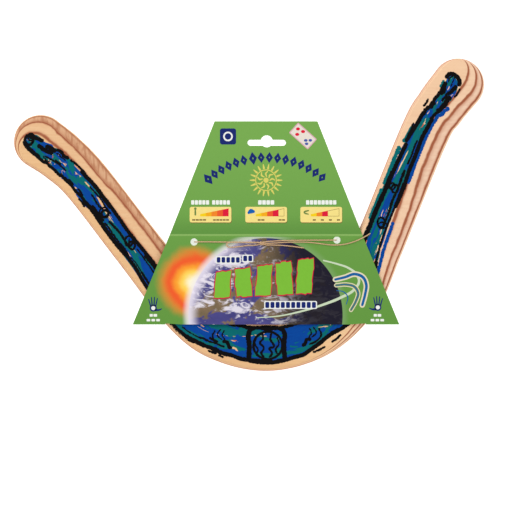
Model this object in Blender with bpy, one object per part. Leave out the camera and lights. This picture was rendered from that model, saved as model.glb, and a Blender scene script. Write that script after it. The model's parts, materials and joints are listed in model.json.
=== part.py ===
"""A carved five-ply boomerang held in a folded hang card that is laced shut with thin twine.

The boomerang lies flat with its elbow towards -Y and its tips towards +Y. The card's back panel rests
on z = 0, the blade lies on it, and the front panel and the sloping header close over the blade.
"""

import math

import bmesh
import bpy
from mathutils import Vector

# Driving dimensions, in metres

# Blade, as seen from above
TIP_SPAN = 0.347          # between the centres of the two rounded tips
ARM_RISE = 0.217          # from the elbow's centreline to the right tip's centre
LEFT_TIP_CHORD = 0.0446
RIGHT_TIP_CHORD = 0.0432
ARM_CHORD = 0.0405
ELBOW_CHORD = 0.0422

# Blade, in section
PLY_COUNT = 5
PLY = 0.0011
GLUE_LINE = 0.0001
BEVEL_WIDTH = 0.0245      # trailing bevel, measured in from the trailing edge
BEVEL_CURVE = 1.16        # above 1 the bevel is slightly crowned
TRAILING_EDGE = 0.0017    # thickness left at the trailing edge
LEADING_ROUND = 0.0030    # how far the leading edge is rounded back at the top face
LEADING_CURVE = 2.5
UNDER_SOFTENING = 0.0004  # small round along the lower edge
LEFT_TIP_WRAP = 0.41      # how far the trailing bevel carries round each tip's end, as a share
RIGHT_TIP_WRAP = 0.08

# Card
BOARD = 0.0005
CARD_X = 0.0138           # the card's middle, from the middle of the blade
CREASE_Y = -0.0169        # where the header folds off the front panel
FRONT_LENGTH = 0.0743     # crease to bottom fold
HEADER_LENGTH = 0.0948    # crease to top edge, measured along the board
TOP_WIDTH = 0.0856
CREASE_WIDTH = 0.1600
BOTTOM_WIDTH = 0.2214
HEADROOM = 0.0010         # air between the blade's face and the front panel
SLOT_CLEARANCE = 0.0004   # between the blade's edges and the ends of the slot in the bottom fold

# Punched holes in the card
HANG_SLOT_X = 0.0144
HANG_SLOT_DOWN = 0.0179   # from the top edge of the card to the middle of the slot
HANG_SLOT_LENGTH = 0.0320
HANG_SLOT_HEIGHT = 0.0050
HANG_DOME_RADIUS = 0.0050
HANG_DOME_UP = 0.0012
LACE_HOLE = 0.0060
LEFT_HOLE = Vector((-0.0460, -0.0227, 0))
RIGHT_HOLE = Vector((0.0727, -0.0211, 0))

# Twine
TWINE = 0.0010
TWINE_BEND = 0.0023       # radius of its bend over the rim of a hole
FLOOR_AIR = 0.00015       # under the run of twine behind the card
KNOT = Vector((0.0105, -0.0238, 0))
KNOT_HALF = Vector((0.0022, 0.0018, 0.0011))
RIDGE_FLAT = 0.0012       # half width of the crest that the back panel makes over the twine
RIDGE_FOOT = 0.0090       # half width of that ridge at its foot
RIDGE_RUN_OUT = 0.0070    # how far past the holes the ridge dies away

TOUCH = 0.0003            # gap kept between pieces that touch

# Places that follow from the sizes above
BLADE_Z = BOARD + TOUCH
THICKNESS = PLY * PLY_COUNT
FRONT_TOP = BLADE_Z + THICKNESS + HEADROOM + BOARD
BOTTOM_Y = CREASE_Y - FRONT_LENGTH
HEADER_SLOPE = math.asin((FRONT_TOP - 2 * BOARD - TOUCH) / HEADER_LENGTH)
TOP_Y = CREASE_Y + HEADER_LENGTH * math.cos(HEADER_SLOPE)
TWINE_Z = FRONT_TOP + TOUCH + TWINE / 2
UNDER_Z = FLOOR_AIR + TWINE / 2
RIDGE_RISE = FLOOR_AIR + TWINE + TOUCH

# The blade's centreline from the left tip to the right tip, with the chord at each point.
# X is a share of TIP_SPAN and Y a share of ARM_RISE.
SPINE = (
    (-0.500, 0.279, LEFT_TIP_CHORD),
    (-0.450, 0.221, (LEFT_TIP_CHORD + ARM_CHORD) / 2),
    (-0.390, 0.127, ARM_CHORD),
    (-0.273, -0.115, ARM_CHORD),
    (-0.142, -0.380, (ARM_CHORD + ELBOW_CHORD) / 2),
    (-0.050, -0.474, ELBOW_CHORD),
    (0.060, -0.500, ELBOW_CHORD),
    (0.172, -0.439, ELBOW_CHORD),
    (0.257, -0.306, (ARM_CHORD + ELBOW_CHORD) / 2),
    (0.310, -0.118, ARM_CHORD),
    (0.418, 0.305, ARM_CHORD),
    (0.458, 0.413, (ARM_CHORD + RIGHT_TIP_CHORD) / 2),
    (0.500, 0.499, RIGHT_TIP_CHORD),
)
# Where along SPINE the bevel leaves the inner edge, and where it takes up the outer edge
INNER_BEVEL_ENDS = (4.0, 7.0)
OUTER_BEVEL_STARTS = (6.3, 9.5)
STEPS_PER_SPAN = 5
CAP_STEPS = 12


# Helpers

def smooth(t):
    """0 to 1 with level ends."""
    t = min(max(t, 0.0), 1.0)
    return t * t * (3 - 2 * t)


def between(t, ends):
    return smooth((t - ends[0]) / (ends[1] - ends[0]))


def through(points, t):
    """A point on the Catmull-Rom curve through the points, and its direction; t counts in spans."""
    first = 2 * points[0] - points[1]
    last = 2 * points[-1] - points[-2]
    row = [first, *points, last]
    i = min(int(t), len(points) - 2)
    a, b, c, d = row[i:i + 4]
    u = t - i
    p = 0.5 * (2 * b + (c - a) * u + (2 * a - 5 * b + 4 * c - d) * u ** 2
               + (3 * b - a - 3 * c + d) * u ** 3)
    slope = 0.5 * ((c - a) + 2 * (2 * a - 5 * b + 4 * c - d) * u + 3 * (3 * b - a - 3 * c + d) * u ** 2)
    return p, slope


def finish_material(name, colour, roughness):
    material = bpy.data.materials.new(name)
    material.use_nodes = True
    shader = material.node_tree.nodes["Principled BSDF"]
    shader.inputs["Base Color"].default_value = (*colour, 1)
    shader.inputs["Roughness"].default_value = roughness
    shader.inputs["Metallic"].default_value = 0
    return material


def add_object(name, mesh, material=None):
    ob = bpy.data.objects.new(name, mesh)
    bpy.context.scene.collection.objects.link(ob)
    if material:
        mesh.materials.append(material)
    return ob


def mesh_from(name, bm):
    mesh = bpy.data.meshes.new(name)
    bm.to_mesh(mesh)
    bm.free()
    return mesh


def plate(name, outline, z_low, z_high, material=None):
    """A flat plate with the outline given counter-clockwise as (x, y) points."""
    bm = bmesh.new()
    base = bm.faces.new([bm.verts.new((x, y, z_low)) for x, y in outline])
    raised = bmesh.ops.extrude_face_region(bm, geom=[base])
    top = [v for v in raised["geom"] if isinstance(v, bmesh.types.BMVert)]
    bmesh.ops.translate(bm, verts=top, vec=(0, 0, z_high - z_low))
    bmesh.ops.recalc_face_normals(bm, faces=bm.faces)
    return add_object(name, mesh_from(name, bm), material)


def arc(centre, radius, start, end, steps):
    """Points on an arc, in degrees, both ends included."""
    angles = [math.radians(start + (end - start) * i / steps) for i in range(steps + 1)]
    return [(centre[0] + radius * math.cos(a), centre[1] + radius * math.sin(a)) for a in angles]


# The blade

def trailing_inset(height):
    """How far the surface lies in from the trailing edge at a height above the underside."""
    under = UNDER_SOFTENING * (1 - smooth(height / UNDER_SOFTENING))
    climb = max(0.0, height - TRAILING_EDGE) / (THICKNESS - TRAILING_EDGE)
    return under + BEVEL_WIDTH * climb ** BEVEL_CURVE


def leading_inset(height):
    under = UNDER_SOFTENING * (1 - smooth(height / UNDER_SOFTENING))
    return under + LEADING_ROUND * (height / THICKNESS) ** LEADING_CURVE


def blade_sections():
    """Points along the blade: centre, direction along it, half chord, bevel shares of both edges."""
    points = [Vector((x * TIP_SPAN, y * ARM_RISE, chord / 2)) for x, y, chord in SPINE]
    sections = []
    for k in range((len(SPINE) - 1) * STEPS_PER_SPAN + 1):
        t = k / STEPS_PER_SPAN
        p, slope = through(points, t)
        along = Vector((slope.x, slope.y)).normalized()
        inner_share = 1 - between(t, INNER_BEVEL_ENDS)
        outer_share = between(t, OUTER_BEVEL_STARTS)
        sections.append((Vector((p.x, p.y)), along, p.z, inner_share, outer_share))
    return sections


SECTIONS = blade_sections()


def edge_inset(share, height):
    return share * trailing_inset(height) + (1 - share) * leading_inset(height)


def tip(section, outward, near, far, wrap, height):
    """The points round a tip's end, from the edge inset by near to the edge inset by far."""
    centre, along, half, _, _ = section
    out = along * outward
    side = Vector((out.y, -out.x))
    end = half - edge_inset(wrap, height)
    middle = (far - near) / 2
    wide = half - (near + far) / 2
    points = []
    for i in range(1, CAP_STEPS):
        a = math.pi * i / CAP_STEPS
        points.append(centre + side * (middle + wide * math.cos(a)) + out * (end * math.sin(a)))
    return points


def contour(height):
    """The blade's edge at a height above its underside: outer side, right tip, inner side, left tip."""
    outer, inner = [], []
    for centre, along, half, inner_share, outer_share in SECTIONS:
        normal = Vector((-along.y, along.x))
        outer.append(centre - normal * (half - edge_inset(outer_share, height)))
        inner.append(centre + normal * (half - edge_inset(inner_share, height)))
    trail = trailing_inset(height)
    lead = leading_inset(height)
    right = tip(SECTIONS[-1], 1, trail, lead, RIGHT_TIP_WRAP, height)
    left = tip(SECTIONS[0], -1, trail, lead, LEFT_TIP_WRAP, height)
    return outer, right, inner[::-1], left


def close_face(bm, groups, upward):
    """Closes one end of a ply: a strip of four-sided faces along it and one face in each tip."""
    outer, right, inner, left = groups
    faces = []
    back = inner[::-1]
    for a, b, c, d in zip(outer, outer[1:], back[1:], back):
        faces.append((a, b, c, d))
    faces.append((outer[-1], *right, inner[0]))
    faces.append((inner[-1], *left, outer[0]))
    for corners in faces:
        bm.faces.new(corners if upward else corners[::-1])


def ply(name, index, material):
    """One veneer of the carved blade, counted from the underside."""
    low = PLY * index + (GLUE_LINE / 2 if index else 0)
    high = PLY * (index + 1) - (GLUE_LINE / 2 if index < PLY_COUNT - 1 else 0)
    heights = {low, high}
    heights.update(h for h in (UNDER_SOFTENING, TRAILING_EDGE) if low < h < high)
    if index == PLY_COUNT - 1:
        heights.add((low + high) / 2)
    bm = bmesh.new()
    rings = []
    for height in sorted(heights):
        z = BLADE_Z + height
        rings.append([[bm.verts.new((p.x, p.y, z)) for p in group] for group in contour(height)])
    loops = [[v for group in ring for v in group] for ring in rings]
    for lower, upper in zip(loops, loops[1:]):
        for i in range(len(lower)):
            j = (i + 1) % len(lower)
            bm.faces.new((lower[i], lower[j], upper[j], upper[i]))
    close_face(bm, rings[0], upward=False)
    close_face(bm, rings[-1], upward=True)
    ob = add_object(name, mesh_from(name, bm), material)
    ob.data.shade_smooth()
    ob.data.set_sharp_from_angle(angle=math.radians(30))
    return ob


def blade_reach(y):
    """The lowest and highest X of the blade's widest outline where it crosses a line of constant Y."""
    loop = [p for group in contour(UNDER_SOFTENING) for p in group]
    crossings = []
    for a, b in zip(loop, loop[1:] + loop[:1]):
        if (a.y - y) * (b.y - y) < 0:
            crossings.append(a.x + (b.x - a.x) * (y - a.y) / (b.y - a.y))
    return min(crossings), max(crossings)


# The card

def half_width(y):
    """Half the card's width at a place on the laid-flat card."""
    if y >= CREASE_Y:
        share = (y - CREASE_Y) / (TOP_Y - CREASE_Y)
        return (CREASE_WIDTH + (TOP_WIDTH - CREASE_WIDTH) * share) / 2
    share = (CREASE_Y - y) / FRONT_LENGTH
    return (CREASE_WIDTH + (BOTTOM_WIDTH - CREASE_WIDTH) * share) / 2


def trapezoid(y_low, y_high):
    low, high = half_width(y_low), half_width(y_high)
    return [(CARD_X - low, y_low), (CARD_X + low, y_low), (CARD_X + high, y_high), (CARD_X - high, y_high)]


def front_panel(material):
    outline = trapezoid(BOTTOM_Y, CREASE_Y - TOUCH / 2)
    return plate("front_panel", outline, FRONT_TOP - BOARD, FRONT_TOP, material)


def header_panel(material):
    """The panel above the crease. Its origin is on the crease, at the board's upper face."""
    near, far = CREASE_WIDTH / 2, TOP_WIDTH / 2
    outline = [(-near, TOUCH / 2), (near, TOUCH / 2), (far, HEADER_LENGTH), (-far, HEADER_LENGTH)]
    ob = plate("header_panel", outline, -BOARD, 0, material)
    ob.location = (CARD_X, CREASE_Y, FRONT_TOP)
    ob.rotation_euler = (-HEADER_SLOPE, 0, 0)
    return ob


def ridge(x, y):
    """How far the back panel is lifted by the twine that runs behind it."""
    across = abs(y - (LEFT_HOLE.y + RIGHT_HOLE.y) / 2)
    over = 1 - smooth((across - RIDGE_FLAT) / (RIDGE_FOOT - RIDGE_FLAT))
    beyond = max(LEFT_HOLE.x - x, x - RIGHT_HOLE.x) - LACE_HOLE / 2
    along = 1 - smooth(beyond / (RIDGE_RUN_OUT - LACE_HOLE / 2))
    return RIDGE_RISE * over * along


def back_panel(material):
    """The back leaf, flat but for the low ridge where it bends over the twine."""
    bm = bmesh.new()
    outline = trapezoid(BOTTOM_Y, CREASE_Y)[:2] + trapezoid(CREASE_Y, TOP_Y)
    outline = [outline[0], outline[1], outline[3], outline[4], outline[5], outline[2]]
    bm.faces.new([bm.verts.new((x, y, 0)) for x, y in outline])
    middle = (LEFT_HOLE.y + RIGHT_HOLE.y) / 2
    slope = RIDGE_FOOT - RIDGE_FLAT
    offsets = [RIDGE_FLAT + slope * share for share in (0, 1 / 3, 2 / 3, 1)]
    run = RIDGE_RUN_OUT - LACE_HOLE / 2
    outsides = [LACE_HOLE / 2 + run * share for share in (0, 1 / 2, 1)]
    cuts = [(Vector((0, middle + side * d, 0)), Vector((0, 1, 0))) for d in offsets for side in (-1, 1)]
    cuts += [(LEFT_HOLE - Vector((d, 0, 0)), Vector((1, 0, 0))) for d in outsides]
    cuts += [(RIGHT_HOLE + Vector((d, 0, 0)), Vector((1, 0, 0))) for d in outsides]
    for point, normal in cuts:
        everything = bm.verts[:] + bm.edges[:] + bm.faces[:]
        bmesh.ops.bisect_plane(bm, geom=everything, dist=1e-7, plane_co=point, plane_no=normal)
    for v in bm.verts:
        v.co.z = ridge(v.co.x, v.co.y)
    bmesh.ops.triangulate(bm, faces=bm.faces[:])
    upper = bmesh.ops.extrude_face_region(bm, geom=bm.faces[:])
    top = [v for v in upper["geom"] if isinstance(v, bmesh.types.BMVert)]
    bmesh.ops.translate(bm, verts=top, vec=(0, 0, BOARD))
    bmesh.ops.recalc_face_normals(bm, faces=bm.faces[:])
    return add_object("back_panel", mesh_from("back_panel", bm), material)


def base_webs(material):
    """The two stretches of the bottom fold that the slot for the elbow leaves, one at each end."""
    reach = [blade_reach(BOTTOM_Y), blade_reach(BOTTOM_Y + BOARD)]
    slot_left = min(r[0] for r in reach) - SLOT_CLEARANCE
    slot_right = max(r[1] for r in reach) + SLOT_CLEARANCE
    half = half_width(BOTTOM_Y + BOARD)
    low, high = BOTTOM_Y, BOTTOM_Y + BOARD
    z_low, z_high = BOARD + TOUCH, FRONT_TOP - BOARD - TOUCH
    spans = {
        "base_web_left": (CARD_X - half, slot_left),
        "base_web_right": (slot_right, CARD_X + half),
    }
    for name, (x_low, x_high) in spans.items():
        plate(name, [(x_low, low), (x_high, low), (x_high, high), (x_low, high)], z_low, z_high, material)


def cutter(name, outline):
    ob = plate(name, outline, -0.005, FRONT_TOP + 0.005)
    ob.hide_render = True
    ob.display_type = "WIRE"
    return ob


def punch(target, tools):
    for tool in tools:
        hole = target.modifiers.new(tool.name, "BOOLEAN")
        hole.operation = "DIFFERENCE"
        hole.solver = "EXACT"
        hole.object = tool


def card(board):
    front = front_panel(board)
    header = header_panel(board)
    back = back_panel(board)
    base_webs(board)
    slot_y = TOP_Y - HANG_SLOT_DOWN
    end = HANG_SLOT_HEIGHT / 2
    reach = HANG_SLOT_LENGTH / 2 - end
    bar = arc((HANG_SLOT_X + reach, slot_y), end, -90, 90, 6)
    bar += arc((HANG_SLOT_X - reach, slot_y), end, 90, 270, 6)
    slot = cutter("hang_slot_cutter", bar)
    dome_outline = arc((HANG_SLOT_X, slot_y + HANG_DOME_UP), HANG_DOME_RADIUS, 0, 337.5, 15)
    dome = cutter("hang_dome_cutter", dome_outline)
    left = cutter("left_hole_cutter", arc(LEFT_HOLE, LACE_HOLE / 2, 0, 337.5, 15))
    right = cutter("right_hole_cutter", arc(RIGHT_HOLE, LACE_HOLE / 2, 0, 337.5, 15))
    punch(front, (left, right))
    punch(header, (slot, dome))
    punch(back, (slot, dome, left, right))


# The twine

def twine(name, route, material):
    """A length of twine along a smooth curve through its route."""
    legs = [(b - a).length for a, b in zip(route, route[1:])]
    path = [route[0]]
    for i, leg in enumerate(legs):
        turn = 0.0
        if 0 < i < len(legs) - 1:
            turn = (route[i + 1] - route[i]).angle(route[i + 2] - route[i + 1])
        steps = 1 if leg < 3 * TWINE or turn < math.radians(4) else math.ceil(leg / (5 * TWINE))
        path += [through(route, i + k / steps)[0] for k in range(1, steps + 1)]
    curve = bpy.data.curves.new(name, "CURVE")
    curve.dimensions = "3D"
    curve.bevel_depth = TWINE / 2
    curve.bevel_resolution = 2
    curve.use_fill_caps = True
    spline = curve.splines.new("POLY")
    spline.points.add(len(path) - 1)
    for point, place in zip(spline.points, path):
        point.co = (*place, 1)
    curve.materials.append(material)
    return add_object(name, curve)


def over_rim(hole, inward):
    """Points of the twine as it dips through a lacing hole, from the front face to the back."""
    points = []
    for degrees in (0, 22.5, 45, 67.5, 90):
        a = math.radians(degrees)
        away = LACE_HOLE / 2 - TWINE_BEND * math.sin(a)
        points.append(hole + inward * away + Vector((0, 0, TWINE_Z - TWINE_BEND * (1 - math.cos(a)))))
    for degrees in (90, 67.5, 45, 22.5, 0):
        a = math.radians(degrees)
        away = LACE_HOLE / 2 - TWINE_BEND * math.sin(a)
        points.append(hole + inward * away + Vector((0, 0, UNDER_Z + TWINE_BEND * (1 - math.cos(a)))))
    return points


def mm(points):
    """Route points written in millimetres, with heights counted from the twine lying on the card."""
    return [Vector((x / 1000, y / 1000, TWINE_Z + z / 1000)) for x, y, z in points]


def lacing(material):
    """The tie itself: from the knot, through both holes and along behind the back panel."""
    inward = (RIGHT_HOLE - LEFT_HOLE).normalized()
    left_run = mm([(8.0, -23.5, 0), (3.0, -23.3, 0), (-12.0, -22.9, 0), (-28.0, -22.7, 0), (-38.0, -22.6, 0)])
    right_run = mm([(62.0, -21.2, 0), (50.0, -21.2, 0), (36.0, -21.4, 0), (20.0, -22.0, 0), (13.0, -22.5, 0)])
    behind = [LEFT_HOLE.lerp(RIGHT_HOLE, share) + Vector((0, 0, UNDER_Z)) for share in (0.1, 0.5, 0.9)]
    down = over_rim(LEFT_HOLE, inward)
    up = over_rim(RIGHT_HOLE, -inward)[::-1]
    twine("lacing_twine", left_run + down + behind + up + right_run, material)


def loose_ends(material):
    """The bow's loop and the two ends that come out of the knot."""
    loop = mm([
        (8.0, -23.1, 1.3), (2.0, -23.0, 1.3), (-7.0, -22.95, 1.3), (-15.0, -22.9, 1.3), (-17.6, -23.3, 1.3),
        (-19.0, -24.9, 0.9), (-18.2, -26.5, 0.4), (-15.8, -27.1, 0.1), (-12.0, -26.9, 0), (-2.0, -25.7, 0),
        (8.0, -25.0, 0),
    ])
    twine("bow_loop", loop, material)
    short = mm([(13.0, -25.2, 0), (18.0, -25.2, 0), (26.0, -25.5, 0), (35.0, -26.3, 0), (45.3, -27.7, 0)])
    twine("short_end", short, material)
    drop = (FRONT_TOP - BLADE_Z - THICKNESS) * 1000
    long = mm([
        (13.0, -23.85, 0), (19.0, -23.7, 0), (29.0, -23.1, 0), (40.0, -22.8, 0), (49.0, -23.0, 0),
        (58.0, -24.0, 0), (69.0, -25.2, 0), (79.0, -24.6, 0), (87.0, -22.4, 0), (93.0, -19.8, 0),
        (95.5, -18.5, 0), (98.0, -17.1, -0.6 * drop), (100.3, -15.6, -drop),
    ])
    twine("long_end", long, material)


def knot(material):
    """The knot as a small rounded lump, lying on the front panel."""
    bm = bmesh.new()
    bmesh.ops.create_uvsphere(bm, u_segments=12, v_segments=8, radius=1)
    centre = Vector((KNOT.x, KNOT.y, FRONT_TOP + TOUCH + KNOT_HALF.z))
    for v in bm.verts:
        v.co = centre + Vector((v.co.x * KNOT_HALF.x, v.co.y * KNOT_HALF.y, v.co.z * KNOT_HALF.z))
    ob = add_object("twine_knot", mesh_from("twine_knot", bm), material)
    ob.data.shade_smooth()


def build():
    for ob in list(bpy.data.objects):
        bpy.data.objects.remove(ob)
    face = finish_material("face_veneer", (0.89, 0.62, 0.34), 0.55)
    cross = finish_material("cross_veneer", (0.62, 0.33, 0.19), 0.65)
    core = finish_material("core_veneer", (0.80, 0.51, 0.28), 0.60)
    board = finish_material("printed_board", (0.17, 0.37, 0.07), 0.35)
    jute = finish_material("jute_twine", (0.45, 0.32, 0.19), 0.90)
    ply("face_ply_bottom", 0, face)
    ply("cross_ply_lower", 1, cross)
    ply("core_ply", 2, core)
    ply("cross_ply_upper", 3, cross)
    ply("face_ply_top", 4, face)
    card(board)
    lacing(jute)
    loose_ends(jute)
    knot(jute)


build()
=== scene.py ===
"""The finish of a carved boomerang in its laced hang card: veneers, paint, printed board and twine.

Lengths are in metres unless a name or a comment says millimetres. The card lies on z = 0, the elbow of
the blade points to -Y and its two tips to +Y.
"""

import json
import math
import random

import bmesh
import bpy
from mathutils import Matrix, Vector, noise
from mathutils.bvhtree import BVHTree
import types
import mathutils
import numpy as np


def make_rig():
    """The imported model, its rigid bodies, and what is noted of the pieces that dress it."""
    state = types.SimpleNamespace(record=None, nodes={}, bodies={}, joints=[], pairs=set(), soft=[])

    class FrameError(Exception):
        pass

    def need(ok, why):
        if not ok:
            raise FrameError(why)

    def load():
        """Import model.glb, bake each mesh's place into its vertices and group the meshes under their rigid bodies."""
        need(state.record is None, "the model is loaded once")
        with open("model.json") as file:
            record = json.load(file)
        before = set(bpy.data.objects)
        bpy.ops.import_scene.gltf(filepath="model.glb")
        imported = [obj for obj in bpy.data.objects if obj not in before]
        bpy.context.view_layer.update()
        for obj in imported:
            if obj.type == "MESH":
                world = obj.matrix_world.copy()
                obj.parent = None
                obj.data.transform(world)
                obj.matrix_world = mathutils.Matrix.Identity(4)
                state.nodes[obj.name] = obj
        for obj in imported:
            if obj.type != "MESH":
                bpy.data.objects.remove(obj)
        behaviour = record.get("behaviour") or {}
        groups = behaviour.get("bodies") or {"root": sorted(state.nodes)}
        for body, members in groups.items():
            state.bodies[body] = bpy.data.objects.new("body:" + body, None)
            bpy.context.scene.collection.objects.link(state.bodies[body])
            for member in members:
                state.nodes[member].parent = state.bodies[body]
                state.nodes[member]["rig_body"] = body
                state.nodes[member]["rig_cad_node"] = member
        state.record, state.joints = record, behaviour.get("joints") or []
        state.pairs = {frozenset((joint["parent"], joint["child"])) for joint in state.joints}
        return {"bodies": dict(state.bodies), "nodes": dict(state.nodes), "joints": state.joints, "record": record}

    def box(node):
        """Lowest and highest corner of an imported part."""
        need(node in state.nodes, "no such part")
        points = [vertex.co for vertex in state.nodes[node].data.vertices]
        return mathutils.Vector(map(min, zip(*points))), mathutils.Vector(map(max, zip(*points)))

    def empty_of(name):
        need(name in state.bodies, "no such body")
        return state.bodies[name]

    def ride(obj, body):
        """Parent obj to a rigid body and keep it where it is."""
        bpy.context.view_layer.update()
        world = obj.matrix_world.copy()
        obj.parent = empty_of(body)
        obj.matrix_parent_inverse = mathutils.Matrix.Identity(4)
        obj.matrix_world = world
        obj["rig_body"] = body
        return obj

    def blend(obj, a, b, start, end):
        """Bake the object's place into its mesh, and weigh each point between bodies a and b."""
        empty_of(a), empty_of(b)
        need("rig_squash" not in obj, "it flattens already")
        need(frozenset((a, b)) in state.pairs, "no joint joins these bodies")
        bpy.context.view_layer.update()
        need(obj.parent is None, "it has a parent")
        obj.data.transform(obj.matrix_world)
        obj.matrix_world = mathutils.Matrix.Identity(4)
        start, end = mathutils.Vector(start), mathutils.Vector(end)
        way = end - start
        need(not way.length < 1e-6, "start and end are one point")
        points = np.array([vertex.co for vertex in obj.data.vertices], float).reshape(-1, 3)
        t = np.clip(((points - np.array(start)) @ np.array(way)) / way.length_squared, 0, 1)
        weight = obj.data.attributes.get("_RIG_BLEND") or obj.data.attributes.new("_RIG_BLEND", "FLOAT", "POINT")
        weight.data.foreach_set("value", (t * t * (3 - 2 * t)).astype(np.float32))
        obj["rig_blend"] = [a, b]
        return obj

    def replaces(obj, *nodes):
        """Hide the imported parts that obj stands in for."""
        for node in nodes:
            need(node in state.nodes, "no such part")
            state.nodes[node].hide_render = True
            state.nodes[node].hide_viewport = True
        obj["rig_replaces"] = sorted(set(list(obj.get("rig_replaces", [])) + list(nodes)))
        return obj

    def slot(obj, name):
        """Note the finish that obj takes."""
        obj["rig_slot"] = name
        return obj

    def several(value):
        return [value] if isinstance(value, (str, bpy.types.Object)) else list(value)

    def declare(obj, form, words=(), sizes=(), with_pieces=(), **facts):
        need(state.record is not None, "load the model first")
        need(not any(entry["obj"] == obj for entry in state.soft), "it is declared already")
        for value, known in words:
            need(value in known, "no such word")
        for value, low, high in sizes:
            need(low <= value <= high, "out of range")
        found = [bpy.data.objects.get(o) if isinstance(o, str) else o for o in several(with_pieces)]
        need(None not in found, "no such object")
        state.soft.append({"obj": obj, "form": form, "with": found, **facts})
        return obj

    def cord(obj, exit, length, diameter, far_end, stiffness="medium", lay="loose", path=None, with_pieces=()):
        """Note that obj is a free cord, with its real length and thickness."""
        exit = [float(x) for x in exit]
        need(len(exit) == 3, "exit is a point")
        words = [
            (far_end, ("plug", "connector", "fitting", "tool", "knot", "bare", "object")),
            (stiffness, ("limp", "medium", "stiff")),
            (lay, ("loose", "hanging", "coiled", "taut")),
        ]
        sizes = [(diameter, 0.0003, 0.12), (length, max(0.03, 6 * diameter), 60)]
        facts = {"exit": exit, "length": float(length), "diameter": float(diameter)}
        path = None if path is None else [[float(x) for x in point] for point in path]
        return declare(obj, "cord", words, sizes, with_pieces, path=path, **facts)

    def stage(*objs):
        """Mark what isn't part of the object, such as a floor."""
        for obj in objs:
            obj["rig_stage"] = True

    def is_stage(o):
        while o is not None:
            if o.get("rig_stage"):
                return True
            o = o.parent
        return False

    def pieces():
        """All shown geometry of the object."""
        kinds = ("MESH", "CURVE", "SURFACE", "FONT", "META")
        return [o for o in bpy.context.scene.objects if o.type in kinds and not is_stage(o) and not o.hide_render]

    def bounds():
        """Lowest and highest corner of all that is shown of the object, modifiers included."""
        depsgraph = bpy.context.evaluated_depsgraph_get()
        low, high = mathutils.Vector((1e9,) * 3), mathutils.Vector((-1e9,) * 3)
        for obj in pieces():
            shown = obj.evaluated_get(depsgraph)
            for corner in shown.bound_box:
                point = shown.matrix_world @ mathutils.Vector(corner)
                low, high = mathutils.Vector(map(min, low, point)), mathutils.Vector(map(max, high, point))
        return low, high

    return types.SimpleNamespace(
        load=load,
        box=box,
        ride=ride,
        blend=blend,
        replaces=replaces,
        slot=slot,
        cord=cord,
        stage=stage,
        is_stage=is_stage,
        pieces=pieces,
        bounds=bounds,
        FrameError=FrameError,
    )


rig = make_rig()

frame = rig.load()
cad_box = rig.bounds()

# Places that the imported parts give

MM = 0.001
VENEERS = ("face_ply_bottom", "cross_ply_lower", "core_ply", "cross_ply_upper", "face_ply_top")
front_low, front_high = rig.box("front_panel")
header_low, header_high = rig.box("header_panel")
FRONT_TOP = front_high.z
BOARD = front_high.z - front_low.z
BOTTOM_Y = front_low.y
CREASE_Y = (front_high.y + header_low.y) / 2
TOP_Y = header_high.y
CARD_X = (front_low.x + front_high.x) / 2
BOTTOM_HALF = (front_high.x - front_low.x) / 2
CREASE_HALF = (header_high.x - header_low.x) / 2
HEADER_SLOPE = math.atan2(FRONT_TOP - BOARD - header_low.z, TOP_Y - CREASE_Y)
SLOT_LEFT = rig.box("base_web_left")[1].x
SLOT_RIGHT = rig.box("base_web_right")[0].x
BLADE_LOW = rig.box("face_ply_bottom")[0].z
BLADE_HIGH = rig.box("face_ply_top")[1].z
THICKNESS = BLADE_HIGH - BLADE_LOW
GLUE_HEIGHTS = [(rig.box(a)[1].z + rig.box(b)[0].z) / 2 for a, b in zip(VENEERS, VENEERS[1:])]

# Blade

# Spine points are shares of TIP_SPAN and ARM_RISE, each with the blade's chord there
TIP_SPAN = 0.347
ARM_RISE = 0.217
LEFT_TIP_CHORD = 0.0446
RIGHT_TIP_CHORD = 0.0432
ARM_CHORD = 0.0405
ELBOW_CHORD = 0.0422
BEVEL_WIDTH = 0.0245
# Shares of the bevel's width reached at TRAILING_EDGE, at each glue line above it and at the top
LEFT_BEVEL = (0.0, 0.055, 0.285, 0.705, 1.0)
RIGHT_BEVEL = (0.0, 0.083, 0.325, 0.625, 1.0)
# Shares by which the core's and the face's glue lines stray inwards: (spans along the blade, share)
CORE_LINE_DRIFT = (
    (-0.2, -0.045), (1.0, 0.03), (2.0, 0.09), (2.8, 0.0), (9.3, -0.03), (9.75, 0.095), (10.2, 0.095),
    (11.3, 0.07), (12.2, 0.04),
)
FACE_LINE_DRIFT = ((8.6, 0.0), (9.3, 0.07), (9.75, 0.14), (10.2, 0.14), (11.3, 0.09), (12.2, 0.10))
TRAILING_EDGE = 0.0017      # height of the square trailing edge
LEADING_ROUND = 0.0030
LEADING_CURVE = 2.5
UNDER_SOFTENING = 0.0004
LEFT_TIP_WRAP = 0.41
RIGHT_TIP_WRAP = 0.08
SANDING_WANDER = 0.0006    # how far the glue lines wander along the bevel
CREST_SOFTENING = 0.0010
INNER_BEVEL_ENDS = (4.0, 7.0)        # the bevel changes sides at the elbow, between these spans
OUTER_BEVEL_STARTS = (6.3, 9.5)
STEPS_PER_SPAN = 16
CAP_STEPS = 40
PLY_RINGS = 5
KINK_SPAN = 2.22                     # the knot in the left arm's core
KINK_REACH = 0.0017
KINK_HEIGHT = 0.0012
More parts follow.
